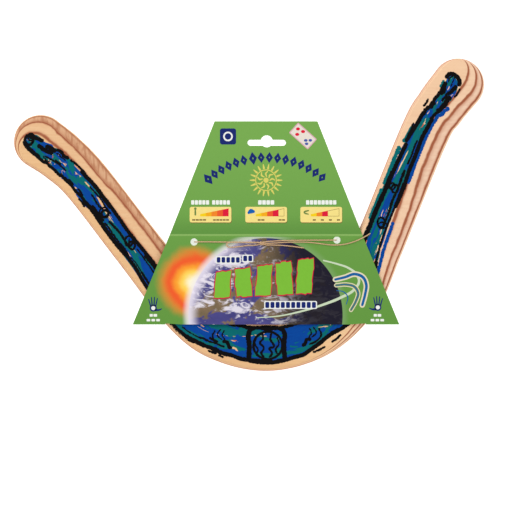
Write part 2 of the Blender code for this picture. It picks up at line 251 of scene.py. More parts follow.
SPINE = (
    (-0.500, 0.279, LEFT_TIP_CHORD),
    (-0.450, 0.221, (LEFT_TIP_CHORD + ARM_CHORD) / 2),
    (-0.390, 0.127, ARM_CHORD),
    (-0.273, -0.115, ARM_CHORD),
    (-0.142, -0.380, (ARM_CHORD + ELBOW_CHORD) / 2),
    (-0.050, -0.474, ELBOW_CHORD),
    (0.060, -0.500, ELBOW_CHORD),
    (0.172, -0.439, ELBOW_CHORD),
    (0.257, -0.306, (ARM_CHORD + ELBOW_CHORD) / 2),
    (0.310, -0.118, ARM_CHORD),
    (0.418, 0.305, ARM_CHORD),
    (0.458, 0.413, (ARM_CHORD + RIGHT_TIP_CHORD) / 2),
    (0.500, 0.499, RIGHT_TIP_CHORD),
)

# Card

TOP_HALF = 0.0428
FOLD_RADIUS = 0.0009
CREASE_BEND = 0.0010       # the board bends over this far on each side of the crease
CREASE_BEAD = 0.00006
LACE_HOLE = 0.0060
LEFT_HOLE = Vector((-0.0460, -0.0227, 0))
RIGHT_HOLE = Vector((0.0727, -0.0211, 0))
HANG_SLOT = Vector((0.0144, TOP_Y - 0.0179, 0))
HANG_SLOT_LENGTH = 0.0320
HANG_SLOT_HEIGHT = 0.0050
HANG_DOME_RADIUS = 0.0050
HANG_DOME_UP = 0.0012
RIDGE_FLAT = 0.0012
RIDGE_FOOT = 0.0090
RIDGE_RUN_OUT = 0.0070
RIDGE_RISE = 0.00145
PUNCH_CORNER = 0.999       # share of a punch's half height that its corners are rounded by
PUNCH_HALF_DEPTH = 0.02
FRONT_ROWS = 10
SIDE_COLUMNS = 9
SLOT_COLUMNS = 12
SEAM_Y = CREASE_Y - 1.5 * CREASE_BEND
RIDGE_Y = (LEFT_HOLE.y + RIGHT_HOLE.y) / 2
QUARTER_TURN = [math.radians(22.5 * k) for k in range(5)]

# Paint and print, in millimetres

INK = 0.02                 # how far a layer of ink stands proud
BAND_STEP = 0.8
BRUSH_COLUMN = 0.8
THINNEST_BRUSH = 0.12      # half a stroke's least width
FILL_LIFT = 0.012
SLIVER_LIFT = 0.001
MARK_LIFT = 0.035          # strokes lie over each other by up to this
THIN_PAINT = 0.02
THICK_PAINT = 0.03

# Twine

TWINE = 0.0010
TOUCH = 0.0003
TWINE_Z = FRONT_TOP + TOUCH + TWINE / 2
UNDER_Z = 0.00065
TWINE_BEND = 0.0023
KNOT = Vector((0.0105, -0.0238, FRONT_TOP + TOUCH + 0.0011))
TWINE_STEP = 0.0003
TWINE_SIDES = 18
TWIST_PITCH = 0.0042
STRAND_RADIUS = 0.00027
STRAND_OFFSET = 0.000235
LACING_LENGTH = 0.245
BOW_LENGTH = 0.060
SHORT_END_LENGTH = 0.034
LONG_END_LENGTH = 0.091
KNOT_TURNS = 3.2
KNOT_STEPS = 44

random.seed(7)


# Camera, floor and light

VIEW_X, VIEW_Y = 0.00257, -0.03146
FLOOR_Z = -0.0002


def camera_above():
    """Looks straight down on the card from well above, with +Y up."""
    lens, sensor, view_width = 300.0, 36.0, 0.41915
    data = bpy.data.cameras.new("camera")
    data.lens = lens
    data.sensor_width = sensor
    camera = bpy.data.objects.new("camera", data)
    camera.location = (VIEW_X, VIEW_Y, FRONT_TOP + view_width * lens / sensor)
    bpy.context.scene.collection.objects.link(camera)
    bpy.context.scene.camera = camera


def soft_light(name, place, size, energy):
    data = bpy.data.lights.new(name, "AREA")
    data.shape = "SQUARE"
    data.size = size
    data.energy = energy
    light = bpy.data.objects.new(name, data)
    light.location = place
    light.rotation_euler = Vector(place).to_track_quat("Z", "Y").to_euler()
    bpy.context.scene.collection.objects.link(light)


def studio():
    """White all round, two soft lights and a pale floor that gives off a little light of its own."""
    world = bpy.data.worlds.new("studio")
    world.use_nodes = True
    world.node_tree.nodes["Background"].inputs["Color"].default_value = (1, 1, 1, 1)
    world.node_tree.nodes["Background"].inputs["Strength"].default_value = 0.72
    bpy.context.scene.world = world
    bpy.context.scene.view_settings.view_transform = "Standard"
    soft_light("key", (-0.9, 1.1, 1.5), 0.9, 13.0)
    soft_light("fill", (1.1, -0.6, 1.3), 1.2, 5.0)
    bpy.ops.mesh.primitive_plane_add(size=8, location=(0, 0, FLOOR_Z))
    floor = bpy.context.object
    floor.name = "floor"
    pale = bpy.data.materials.new("floor_paper")
    pale.use_nodes = True
    for socket, value in (
        ("Base Color", (0.97, 0.97, 0.97, 1)), ("Roughness", 0.9), ("Specular IOR Level", 0.1),
        ("Emission Color", (1, 1, 1, 1)), ("Emission Strength", 0.6),
    ):
        pale.node_tree.nodes["Principled BSDF"].inputs[socket].default_value = value
    floor.data.materials.append(pale)
    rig.stage(floor)


# Finishes

def tint(red, green, blue):
    """A colour from its usual steps of 0 to 255."""
    steps = [c / 255 for c in (red, green, blue)]
    return tuple(c / 12.92 if c < 0.04045 else ((c + 0.055) / 1.055) ** 2.4 for c in steps) + (1.0,)


TEAL_PAINT = (tint(0, 92, 98), tint(0, 114, 116))
BLUE_PAINT = (tint(0, 58, 138), tint(0, 76, 164))


class Finish:
    """A material of shader nodes, read from Object coordinates, with short ways to add to it."""

    def __init__(self, name, roughness, specular=0.12):
        self.material = bpy.data.materials.new(name)
        self.material.use_nodes = True
        self.tree = self.material.node_tree
        self.shader = self.tree.nodes["Principled BSDF"]
        self.shader.inputs["Roughness"].default_value = roughness
        self.shader.inputs["Specular IOR Level"].default_value = specular
        self.place = self.tree.nodes.new("ShaderNodeTexCoord").outputs["Object"]

    def feed(self, socket, source):
        if isinstance(source, bpy.types.NodeSocket):
            self.tree.links.new(source, socket)
        else:
            socket.default_value = source

    def node(self, kind, sources, **settings):
        made = self.tree.nodes.new("ShaderNode" + kind)
        for key, value in settings.items():
            setattr(made, key, value)
        for name, source in sources.items():
            self.feed(made.inputs[name], source)
        return made

    def sum(self, operation, a, b=0.0, c=0.0):
        return self.node("Math", {0: a, 1: b, 2: c}, operation=operation).outputs[0]

    def step(self, value, low, high):
        """0 below low and 1 above high, with a soft step between; low may be the higher one."""
        sources = {"Value": value, "From Min": low, "From Max": high}
        return self.node("MapRange", sources, interpolation_type="SMOOTHSTEP").outputs[0]

    def times(self, a, b):
        return self.sum("MULTIPLY", a, b)

    def plus(self, a, b):
        return self.sum("ADD", a, b)

    def less(self, a, b):
        return self.sum("SUBTRACT", a, b)

    def apart(self, a, b):
        return self.sum("ABSOLUTE", self.less(a, b))

    def mix(self, share, a, b):
        return self.node("Mix", {0: share, 6: a, 7: b}, data_type="RGBA").outputs[2]

    def axis(self, vector=None):
        made = self.node("SeparateXYZ", {0: vector or self.place})
        return made.outputs[0], made.outputs[1], made.outputs[2]

    def placed(self, shift=(0, 0, 0), turn=0.0, scale=(1, 1, 1)):
        """Object coordinates moved by shift, then turned about Z and stretched."""
        moved = self.node("VectorMath", {0: self.place, 1: shift}, operation="SUBTRACT").outputs[0]
        spin = {"Vector": moved, "Rotation": (0, 0, turn), "Scale": scale}
        return self.node("Mapping", spin, vector_type="POINT").outputs[0]

    def noise(self, vector, scale, detail=3.0, roughness=0.5, distortion=0.0):
        sources = {"Vector": vector, "Scale": scale, "Detail": detail, "Roughness": roughness}
        sources["Distortion"] = distortion
        return self.node("TexNoise", sources).outputs[0]

    def away(self, x, y, flatten=1.0):
        """Distance in the plane from a point, with Y stretched by flatten."""
        near = self.placed((x, y, 0), 0.0, (1, flatten, 0))
        return self.node("VectorMath", {0: near}, operation="LENGTH").outputs[1]

    def colour(self, source):
        self.feed(self.shader.inputs["Base Color"], source)

    def rough(self, source):
        self.feed(self.shader.inputs["Roughness"], source)

    def bump(self, height, distance, strength=1.0):
        made = self.node("Bump", {"Height": height, "Distance": distance, "Strength": strength})
        self.feed(self.shader.inputs["Normal"], made.outputs[0])


def wood_tones(finish, pale, dark, grain_turn, grain_pitch, contrast):
    """Bare sanded veneer: broad clouds, streaks along the grain and short open pores.

    The wood is darker from the elbow leftwards and paler along the right arm.
    """
    cloud = finish.noise(finish.place, 38.0, 4.0, 0.55)
    along = finish.placed(turn=grain_turn, scale=(0.05, 1, 1))
    streak = finish.noise(along, grain_pitch, 4.0, 0.6, 0.35)
    pores = finish.noise(finish.placed(turn=grain_turn, scale=(0.09, 1, 1)), grain_pitch * 4.5, 2.0)
    tone = finish.mix(finish.step(streak, 0.5 - contrast, 0.5 + contrast), pale, dark)
    tone = finish.mix(finish.times(cloud, 0.35), tone, pale)
    across = finish.axis()[0]
    ripe = finish.times(finish.step(across, 0.090, 0.030), 0.27)
    tone = finish.mix(ripe, tone, tint(204, 146, 96))
    blond = finish.times(finish.step(across, 0.060, 0.120), 0.25)
    tone = finish.mix(blond, tone, tint(240, 206, 198))
    pore_share = finish.times(finish.step(pores, 0.62, 0.75), 0.30)
    return finish.mix(pore_share, tone, tint(196, 138, 92)), streak, pores


def veneer(name, pale, dark, grain_turn, grain_pitch, contrast, lines):
    """One ply, darker where its surface turns steep or faces down, partly for end grain on its cut edges and partly as
    painted shade, which darkens the whole underside too; its glue lines are fainter where its edge is steep.

    Lines are its glue lines: (height, how far the stain spreads).
    """
    finish = Finish(name, 0.6)
    tone, streak, pores = wood_tones(finish, pale, dark, grain_turn, grain_pitch, contrast)
    height = finish.axis()[2]
    waver = finish.times(finish.less(finish.noise(finish.place, 160.0), 0.5), 0.00022)
    height = finish.plus(height, waver)
    patches = finish.noise(finish.placed((0.4, 0.2, 0)), 48.0, 4.0, 0.65)
    uneven = finish.sum("MULTIPLY_ADD", patches, 1.3, 0.15)
    lean = finish.axis(finish.node("NewGeometry", {}).outputs["Normal"])[2]
    shown = finish.sum("MULTIPLY_ADD", finish.step(lean, 0.72, 0.94), 0.68, 0.32)
    uneven = finish.times(uneven, shown)
    # Partly painted shade: every face that leans past upright is darkened, the whole underside included, though only
    # the cut edges are end grain.
    end_grain_and_shade = finish.times(finish.step(lean, 0.66, 0.32), 0.62)
    tone = finish.mix(end_grain_and_shade, tone, tint(170, 104, 76))
    for line, spread in lines:
        gap = finish.apart(height, line)
        halo = finish.times(finish.times(finish.step(gap, spread, 0.0), 0.85), uneven)
        tone = finish.mix(halo, tone, tint(188, 116, 84))
        firm = finish.sum("MULTIPLY_ADD", shown, 0.35, uneven)
        line_share = finish.times(finish.step(gap, 0.00024, 0.00005), firm)
        tone = finish.mix(line_share, tone, tint(163, 92, 62))
    finish.colour(tone)
    finish.rough(finish.sum("MULTIPLY_ADD", streak, 0.2, 0.48))
    finish.bump(finish.less(streak, pores), 0.00008, 0.35)
    return finish


def painted_wood():
    """Two colours of brush paint over bare veneer, which shows through where the brush missed.

    The map runs along the blade in U and across it in V, so that the paint is drawn out lengthways.
    """
    finish = Finish("brush_paint", 0.7, 0.08)
    tone = wood_tones(finish, tint(243, 203, 154), tint(234, 188, 138), 0.0, 420.0, 0.2)[0]
    drawn = finish.node("UVMap", {}, uv_map="drawn").outputs[0]
    long = finish.node("Mapping", {"Vector": drawn, "Scale": (0.34, 1, 1)}).outputs[0]
    fine = finish.node("Mapping", {"Vector": drawn, "Scale": (0.12, 1, 1)}).outputs[0]
    patch = finish.noise(long, 190.0, 3.0, 0.6, 0.7)
    brush = finish.noise(fine, 1400.0, 3.0, 0.6)
    apart = finish.node("VectorMath", {0: long, 1: (3.1, 1.7, 0)}, operation="ADD").outputs[0]
    worn = finish.noise(apart, 210.0, 3.0, 0.6, 0.9)
    far = finish.node("VectorMath", {0: long, 1: (7.3, 4.9, 0)}, operation="ADD").outputs[0]
    spark = finish.noise(far, 260.0, 2.0, 0.5, 0.6)
    teal = finish.mix(brush, *TEAL_PAINT)
    blue = finish.mix(brush, *BLUE_PAINT)
    paint = finish.mix(finish.step(patch, 0.49, 0.50), teal, blue)
    clear = finish.times(finish.step(finish.axis()[1], -0.075, -0.100), 0.055)
    bare = finish.step(finish.less(worn, clear), 0.615, 0.625)
    spot = finish.times(bare, finish.step(spark, 0.60, 0.61))
    covered = finish.mix(bare, paint, tone)
    finish.colour(finish.mix(spot, covered, tint(206, 92, 56)))
    finish.rough(finish.sum("MULTIPLY_ADD", brush, 0.2, 0.55))
    finish.bump(brush, 0.00006, 0.4)
    return finish.material


def brush_colour(name, dark, light):
    """Brush paint that covers fully, with the faint furrows of the bristles."""
    finish = Finish(name, 0.7, 0.06)
    brush = finish.noise(finish.placed(turn=0.9, scale=(0.3, 1, 1)), 900.0, 3.0, 0.6)
    finish.colour(finish.mix(brush, dark, light))
    finish.rough(finish.sum("MULTIPLY_ADD", brush, 0.2, 0.55))
    finish.bump(brush, 0.00005, 0.4)
    return finish.material


def board_tooth(finish):
    """The fine tooth of coated board under the ink."""
    tooth = finish.noise(finish.place, 2600.0, 2.0, 0.6)
    sheen = finish.noise(finish.place, 45.0, 3.0)
    finish.rough(finish.sum("MULTIPLY_ADD", sheen, 0.16, 0.36))
    finish.bump(tooth, 0.00002, 0.4)
    return finish.less(tooth, 0.5)


def green_ink(finish):
    """The card's green, with painted light that makes it brighter towards the top edge, painted shade just above the
    crease, and a pale crease line that is partly worn coating and partly painted highlight.
    """
    height = finish.axis()[1]
    # Painted light: the green is brighter towards the top edge.
    tone = finish.mix(finish.step(height, -0.09, 0.078), tint(98, 150, 63), tint(116, 167, 77))
    # Painted shade: darker just above the crease.
    crease_shade = finish.times(finish.step(height, CREASE_Y + 0.020, CREASE_Y), 0.55)
    crease_shade = finish.times(crease_shade, finish.step(height, CREASE_Y - 0.0006, CREASE_Y + 0.0006))
    tone = finish.mix(crease_shade, tone, tint(80, 132, 54))
    # The pale line along the crease: partly worn, cracked coating, partly a painted highlight on the fold.
    worn = finish.times(finish.step(finish.apart(height, CREASE_Y), 0.0011, 0.0002), 0.8)
    return finish.mix(worn, tone, tint(146, 186, 104))


def plain_print():
    """Plain green coated board."""
    finish = Finish("green_print", 0.5)
    tooth = board_tooth(finish)
    tone = green_ink(finish)
    fleck = finish.sum("ABSOLUTE", finish.times(tooth, 0.5))
    finish.colour(finish.mix(fleck, tone, tint(140, 188, 100)))
    return finish.material


SUN = Vector((-0.0457, -0.0567))
GLOBE = Vector((0.0134, -0.0835))
GLOBE_RADIUS = 0.0640


def picture_print():
    """Green board with a sun's glow and half a planet, cut off by the bottom fold."""
    finish = Finish("picture_print", 0.5)
    board_tooth(finish)
    tone = green_ink(finish)
    flare = finish.noise(finish.place, 60.0, 4.0, 0.6, 0.4)
    reach = finish.away(SUN.x, SUN.y)
    reach = finish.plus(reach, finish.times(finish.less(flare, 0.5), 0.008))
    for far, near, glow in (
        (0.0335, 0.0230, tint(214, 138, 52)),
        (0.0270, 0.0190, tint(240, 92, 40)),
        (0.0195, 0.0130, tint(250, 160, 46)),
        (0.0140, 0.0080, tint(254, 214, 92)),
        (0.0090, 0.0030, tint(255, 246, 206)),
    ):
        tone = finish.mix(finish.step(reach, far, near), tone, glow)
    from_globe = finish.away(GLOBE.x, GLOBE.y)
    halo = finish.times(finish.step(from_globe, GLOBE_RADIUS + 0.006, GLOBE_RADIUS), 0.75)
    left, up, _ = finish.axis(finish.placed((GLOBE.x, GLOBE.y, 0)))
    lit = finish.step(left, 0.030, -0.030)
    halo = finish.times(halo, finish.sum("MULTIPLY_ADD", lit, 0.9, 0.1))
    tone = finish.mix(halo, tone, tint(240, 236, 238))
    surface = globe_surface(finish, left, up, from_globe)
    inside = finish.step(from_globe, GLOBE_RADIUS + 0.0002, GLOBE_RADIUS - 0.0002)
    finish.colour(finish.mix(inside, tone, surface))
    return finish.material


def globe_surface(finish, left, up, from_globe):
    """Sea, land and cloud, lit from the left and dark on the right."""
    swirl = finish.placed((GLOBE.x, GLOBE.y, 0), 0.5, (1, 1.9, 1))
    sea = finish.mix(finish.noise(swirl, 55.0, 4.0), tint(40, 40, 98), tint(92, 88, 156))
    soil = finish.noise(finish.placed((0.2, 0.5, 0)), 34.0, 5.0, 0.6, 0.5)
    ground = finish.mix(finish.noise(finish.place, 160.0, 4.0), tint(84, 82, 58), tint(150, 120, 92))
    middle = finish.away(GLOBE.x + 0.008, GLOBE.y + 0.018, 0.9)
    land = finish.plus(soil, finish.times(finish.step(middle, 0.052, 0.0), 0.22))
    face = finish.mix(finish.step(land, 0.56, 0.60), sea, ground)
    wisps = finish.noise(swirl, 88.0, 7.0, 0.66, 1.5)
    banks = finish.noise(finish.placed((0.05, 0.9, 0), 0.3, (1, 2.2, 1)), 30.0, 3.0)
    cloud = finish.plus(wisps, finish.times(finish.less(banks, 0.5), 0.9))
    face = finish.mix(finish.times(finish.step(cloud, 0.52, 0.68), 0.92), face, tint(232, 226, 236))
    night = finish.plus(left, finish.times(up, 0.10))
    dark = finish.times(finish.step(night, -0.006, 0.036), 0.975)
    face = finish.mix(dark, face, tint(22, 18, 32))
    rim = finish.step(from_globe, GLOBE_RADIUS - 0.010, GLOBE_RADIUS)
    day = finish.step(left, 0.0, -0.045)
    glow = finish.times(finish.times(rim, day), 0.85)
    return finish.mix(glow, face, tint(238, 230, 244))


def raw_board():
    """The board's unprinted side and its cut edges."""
    finish = Finish("raw_board", 0.85)
    fibre = finish.noise(finish.placed(scale=(0.3, 1, 1)), 1400.0, 4.0, 0.65)
    finish.colour(finish.mix(fibre, tint(236, 232, 222), tint(214, 208, 194)))
    finish.bump(fibre, 0.00004, 0.5)
    return finish.material


def ink(name, colour):
    """A flat printed colour, with the slight mottle of ink on board."""
    finish = Finish(name, 0.5)
    tooth = board_tooth(finish)
    darker = tuple(c * 0.88 for c in colour[:3]) + (1.0,)
    mottle = finish.noise(finish.place, 420.0, 4.0, 0.6)
    finish.colour(finish.mix(finish.plus(mottle, finish.times(tooth, 0.3)), colour, darker))
    return finish.material


def jute():
    """Twisted plant fibre: streaks along each strand, with painted shade in the valleys between them."""
    finish = Finish("jute_fibre", 0.85)
    lay = finish.node("UVMap", {}, uv_map="lay").outputs[0]
    fibre = finish.node("Mapping", {"Vector": lay, "Scale": (30, 2.2, 1)}).outputs[0]
    streak = finish.noise(fibre, 1.0, 5.0, 0.7, 0.2)
    around = finish.axis(lay)[0]
    turn = finish.times(around, 3 * 2 * math.pi)
    crown = finish.sum("MULTIPLY_ADD", finish.sum("COSINE", turn), 0.5, 0.5)
    tone = finish.mix(finish.step(streak, 0.30, 0.70), tint(196, 152, 108), tint(240, 208, 164))
    # Painted shade: darker in the valleys between the strands.
    tone = finish.mix(finish.times(finish.step(crown, 0.35, 0.0), 0.6), tone, tint(150, 108, 72))
    finish.colour(tone)
    finish.bump(streak, 0.00006, 0.8)
    finish.shader.inputs["Sheen Weight"].default_value = 0.25
    return finish.material


# Making pieces

def select_only(*pieces):
    bpy.ops.object.select_all(action="DESELECT")
    for piece in pieces:
        piece.select_set(True)
    bpy.context.view_layer.objects.active = pieces[0]


def piece_from(name, bm, *finishes):
    mesh = bpy.data.meshes.new(name)
    bm.to_mesh(mesh)
    bm.free()
    piece = bpy.data.objects.new(name, mesh)
    bpy.context.scene.collection.objects.link(piece)
    for finish in finishes:
        mesh.materials.append(finish)
    return piece


def shade(piece, degrees):
    select_only(piece)
    bpy.ops.object.shade_smooth_by_angle(angle=math.radians(degrees))


def give_thickness(piece, thickness, offset):
    select_only(piece)
    wall = piece.modifiers.new("wall", "SOLIDIFY")
    wall.thickness = thickness
    wall.offset = offset
    bpy.ops.object.modifier_apply(modifier="wall")


def eased(a, b, rise_a, rise_b, u):
    """From a to b as u goes from 0 to 1, leaving and arriving at the given slopes."""
    return (a * (2 * u ** 3 - 3 * u ** 2 + 1) + rise_a * (u ** 3 - 2 * u ** 2 + u)
            + b * (3 * u ** 2 - 2 * u ** 3) + rise_b * (u ** 3 - u ** 2))


def smooth_path(route, step):
    """Close points on a smooth curve through the route; a short leg is never overshot."""
    ways = []
    for i, place in enumerate(route):
        before = place - route[i - 1] if i else route[1] - place
        after = route[i + 1] - place if i < len(route) - 1 else before
        ways.append((before.normalized() * after.length + after.normalized() * before.length).normalized())
    path = [route[0]]
    for a, b, way_a, way_b in zip(route, route[1:], ways, ways[1:]):
        leg = (b - a).length
        steps = max(1, round(leg / step))
        path += [eased(a, b, way_a * leg, way_b * leg, k / steps) for k in range(1, steps + 1)]
    return path


def smooth(t):
    t = min(max(t, 0.0), 1.0)
    return t * t * (3 - 2 * t)


def keyed(keys, t):
    """A value that eases from one (place, value) key to the next."""
    if t <= keys[0][0]:
        return keys[0][1]
    for (a, low), (b, high) in zip(keys, keys[1:]):
        if t <= b:
            return low + (high - low) * smooth((t - a) / (b - a))
    return keys[-1][1]


# Twine

def strand_radius(angle):
    """The outline of three strands laid together, at an angle round the twine."""
    third = 2 * math.pi / 3
    off = (angle + third / 2) % third - third / 2
    aside = STRAND_OFFSET * math.sin(off)
    return STRAND_OFFSET * math.cos(off) + math.sqrt(STRAND_RADIUS ** 2 - aside ** 2)


def lay_twine(name, route, finish):
    """Twisted twine along a route. Its map runs round the twine in U and along it in V."""
    path = smooth_path(route, TWINE_STEP)
    bm = bmesh.new()
    lay = bm.loops.layers.uv.new("lay")
    rings = []
    run = 0.0
    way = (path[1] - path[0]).normalized()
    normal = way.orthogonal().normalized()
    for i, place in enumerate(path):
        ahead = path[min(i + 1, len(path) - 1)] - path[max(i - 1, 0)]
        way = ahead.normalized()
        normal = (normal - way * normal.dot(way)).normalized()
        side = way.cross(normal)
        if i:
            run += (place - path[i - 1]).length
        from_end = min(i, len(path) - 1 - i)
        full = (0.55, 0.85)[from_end] if from_end < 2 else 1.0
        ring = []
        for j in range(TWINE_SIDES):
            angle = 2 * math.pi * j / TWINE_SIDES
            rough = 1 + 0.07 * noise.noise(Vector((run * 1300, math.cos(angle) * 2, math.sin(angle) * 2)))
            radius = strand_radius(angle) * rough * full
            turned = angle + 2 * math.pi * run / TWIST_PITCH
            ring.append(bm.verts.new(place + (normal * math.cos(turned) + side * math.sin(turned)) * radius))
        rings.append((ring, run))
    for (ring_a, run_a), (ring_b, run_b) in zip(rings, rings[1:]):
        for j in range(TWINE_SIDES):
            k = (j + 1) % TWINE_SIDES
            face = bm.faces.new((ring_a[j], ring_a[k], ring_b[k], ring_b[j]))
            places = ((j, run_a), (j + 1, run_a), (j + 1, run_b), (j, run_b))
            for loop, (column, along) in zip(face.loops, places):
                loop[lay].uv = (column / TWINE_SIDES, along / TWINE)
    bm.faces.new(rings[0][0][::-1])
    bm.faces.new(rings[-1][0])
    bmesh.ops.recalc_face_normals(bm, faces=bm.faces[:])
    piece = piece_from(name, bm, finish)
    shade(piece, 60)
    return piece, path


def over_rim(hole, inward):
    """The twine's dip through a lacing hole, from the front face to the back."""
    points = []
    ways = ((TWINE_Z, -TWINE_BEND, QUARTER_TURN), (UNDER_Z, TWINE_BEND, QUARTER_TURN[::-1]))
    for face_z, bend, angles in ways:
        for a in angles:
            away = LACE_HOLE / 2 - TWINE_BEND * math.sin(a)
            points.append(hole + inward * away + Vector((0, 0, face_z + bend * (1 - math.cos(a)))))
    return points


def on_card(points):
    """Route points in millimetres, with heights counted from twine that lies on the card."""
    return [Vector((x * MM, y * MM, TWINE_Z + z * MM)) for x, y, z in points]


def lacing_route():
    inward = (RIGHT_HOLE - LEFT_HOLE).normalized()
    left_run = on_card([
        (9.6, -23.6, 0.3), (8.0, -23.5, 0.1), (3.0, -23.3, 0), (-12.0, -22.9, 0), (-28.0, -22.7, 0),
        (-38.0, -22.6, 0),
    ])
    right_run = on_card([
        (62.0, -21.2, 0), (50.0, -21.2, 0), (36.0, -21.4, 0), (20.0, -22.0, 0), (13.4, -22.6, 0.1),
        (11.4, -23.3, 0.4),
    ])
    behind = [LEFT_HOLE.lerp(RIGHT_HOLE, share) + Vector((0, 0, UNDER_Z)) for share in (0.1, 0.5, 0.9)]
    return left_run + over_rim(LEFT_HOLE, inward) + behind + over_rim(RIGHT_HOLE, -inward)[::-1] + right_run


def bow_route():
    return on_card([
        (9.8, -23.4, 1.0), (8.0, -23.1, 1.25), (2.0, -23.0, 1.3), (-7.0, -22.95, 1.3), (-15.0, -22.9, 1.3),
        (-17.6, -23.3, 1.3), (-19.0, -24.9, 0.9), (-18.2, -26.5, 0.4), (-15.8, -27.1, 0.1), (-12.0, -26.9, 0),
        (-2.0, -25.7, 0), (8.0, -24.8, 0), (9.6, -24.2, 0.2),
    ])


def short_route():
    return on_card([
        (11.4, -24.3, 0.2), (13.2, -25.0, 0), (18.0, -25.2, 0), (26.0, -25.5, 0), (35.0, -26.3, 0),
        (45.3, -27.7, 0),
    ])


def long_route():
    drop = (FRONT_TOP - BLADE_HIGH) / MM
    return on_card([
        (11.4, -23.8, 0.5), (13.2, -23.85, 0.1), (19.0, -23.7, 0), (29.0, -23.1, 0), (40.0, -22.8, 0),
        (49.0, -23.0, 0), (58.0, -24.0, 0), (69.0, -25.2, 0), (79.0, -24.6, 0), (87.0, -22.4, 0),
        (93.0, -19.8, 0), (95.5, -18.5, 0), (98.0, -17.1, -0.6 * drop), (100.3, -15.6, -drop),
    ])


def knot_route():
    """Turns wound over the crossing, closely from left to right."""
    route = []
    for i in range(KNOT_STEPS + 1):
        share = i / KNOT_STEPS
        a = 2 * math.pi * KNOT_TURNS * share + math.pi
        across = -1.7 + 3.4 * share
        route.append(KNOT + Vector((across * MM, 1.30 * MM * math.cos(a), 0.57 * MM * math.sin(a))))
    return route


def tie():
    fibre = jute()
    lacing, lacing_path = lay_twine("tie_lacing", lacing_route(), fibre)
    bow, bow_path = lay_twine("tie_bow", bow_route(), fibre)
    short, short_path = lay_twine("tie_short_end", short_route(), fibre)
    long, long_path = lay_twine("tie_long_end", long_route(), fibre)
    knot, _ = lay_twine("tie_knot", knot_route(), fibre)
    for piece, node in (
        (lacing, "lacing_twine"), (bow, "bow_loop"), (short, "short_end"), (long, "long_end"),
        (knot, "twine_knot"),
    ):
        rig.ride(piece, "card")
        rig.replaces(piece, node)
        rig.slot(piece, "jute_twine")
    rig.cord(lacing, exit=lacing_path[0], length=LACING_LENGTH, diameter=TWINE, far_end="knot",
            stiffness="limp", lay="taut", path=lacing_path, with_pieces=[knot])
    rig.cord(bow, exit=bow_path[0], length=BOW_LENGTH, diameter=TWINE, far_end="knot",
            stiffness="limp", lay="loose", path=bow_path)
    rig.cord(short, exit=short_path[0], length=SHORT_END_LENGTH, diameter=TWINE, far_end="bare",
            stiffness="limp", lay="loose", path=short_path)
    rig.cord(long, exit=long_path[0], length=LONG_END_LENGTH, diameter=TWINE, far_end="bare",
            stiffness="limp", lay="loose", path=long_path)


# The carved blade

def spine_at(t):
    """Centre, direction and half chord at a place along the blade, counted in spans of SPINE."""
    points = [Vector((x * TIP_SPAN, y * ARM_RISE, chord / 2)) for x, y, chord in SPINE]
    row = [2 * points[0] - points[1], *points, 2 * points[-1] - points[-2]]
    i = min(max(int(t), 0), len(points) - 2)
    a, b, c, d = row[i:i + 4]
    u = min(max(t - i, 0.0), 1.0)
    place = 0.5 * (2 * b + (c - a) * u + (2 * a - 5 * b + 4 * c - d) * u ** 2
                   + (3 * b - a - 3 * c + d) * u ** 3)
    slope = 0.5 * ((c - a) + 2 * (2 * a - 5 * b + 4 * c - d) * u + 3 * (3 * b - a - 3 * c + d) * u ** 2)
    place = place + slope * (t - i - u)
    return Vector((place.x, place.y)), Vector((slope.x, slope.y)).normalized(), place.z


def knot_kink(t, height):
    """A knot in the left arm's core pushes its upper glue line outwards."""
    near = max(0.0, 1 - abs(height - (GLUE_HEIGHTS[2] - BLADE_LOW)) / KINK_HEIGHT)
    past = t - KINK_SPAN
    return KINK_REACH * near * smooth(past / 0.12) * math.exp(-max(past, 0.0) / 0.45)


def bevel_reach(height, reach):
    """How much of the bevel's width lies outside a height, eased from one glue line to the next."""
    levels = [TRAILING_EDGE] + [g - BLADE_LOW for g in GLUE_HEIGHTS[1:]] + [THICKNESS]
    if height <= levels[0]:
        return 0.0
    leans = [(b - a) / (d - c) for a, b, c, d in zip(reach, reach[1:], levels, levels[1:])]
    slopes = [0.6 * leans[0]] + [(a + b) / 2 for a, b in zip(leans, leans[1:])] + [leans[-1]]
    i = min(sum(height > level for level in levels), len(leans)) - 1
    leg = levels[i + 1] - levels[i]
    u = (height - levels[i]) / leg
    return eased(reach[i], reach[i + 1], slopes[i] * leg, slopes[i + 1] * leg, u)


def trailing_inset(height, t):
    under = UNDER_SOFTENING * (1 - smooth(height / UNDER_SOFTENING))
    climb = max(0.0, height - TRAILING_EDGE) / (THICKNESS - TRAILING_EDGE)
    right = smooth((t - 4) / 4)
    reach = [a + (b - a) * right for a, b in zip(LEFT_BEVEL, RIGHT_BEVEL)]
    reach[2] += keyed(CORE_LINE_DRIFT, t)
    reach[3] += keyed(FACE_LINE_DRIFT, t)
    wander = noise.noise(Vector((t * 2.3, height * 900, 0.5)))
    wander += 0.5 * noise.noise(Vector((t * 7, height * 900, 9)))
    stray = 4 * climb * (1 - climb) * (SANDING_WANDER * wander)
    return under + BEVEL_WIDTH * bevel_reach(height, reach) + stray - knot_kink(t, height)


def leading_inset(height):
    under = UNDER_SOFTENING * (1 - smooth(height / UNDER_SOFTENING))
    return under + LEADING_ROUND * (height / THICKNESS) ** LEADING_CURVE


def edge_inset(share, height, t):
    return share * trailing_inset(height, t) + (1 - share) * leading_inset(height)


def tip_points(t, outward, near, far, wrap, height):
    centre, along, half = spine_at(t)
    out = along * outward
    side = Vector((out.y, -out.x))
    end = half - edge_inset(wrap, height, t)
    middle = (far - near) / 2
    wide = half - (near + far) / 2
    turns = [math.pi * i / CAP_STEPS for i in range(1, CAP_STEPS)]
    return [centre + side * (middle + wide * math.cos(a)) + out * (end * math.sin(a)) for a in turns]


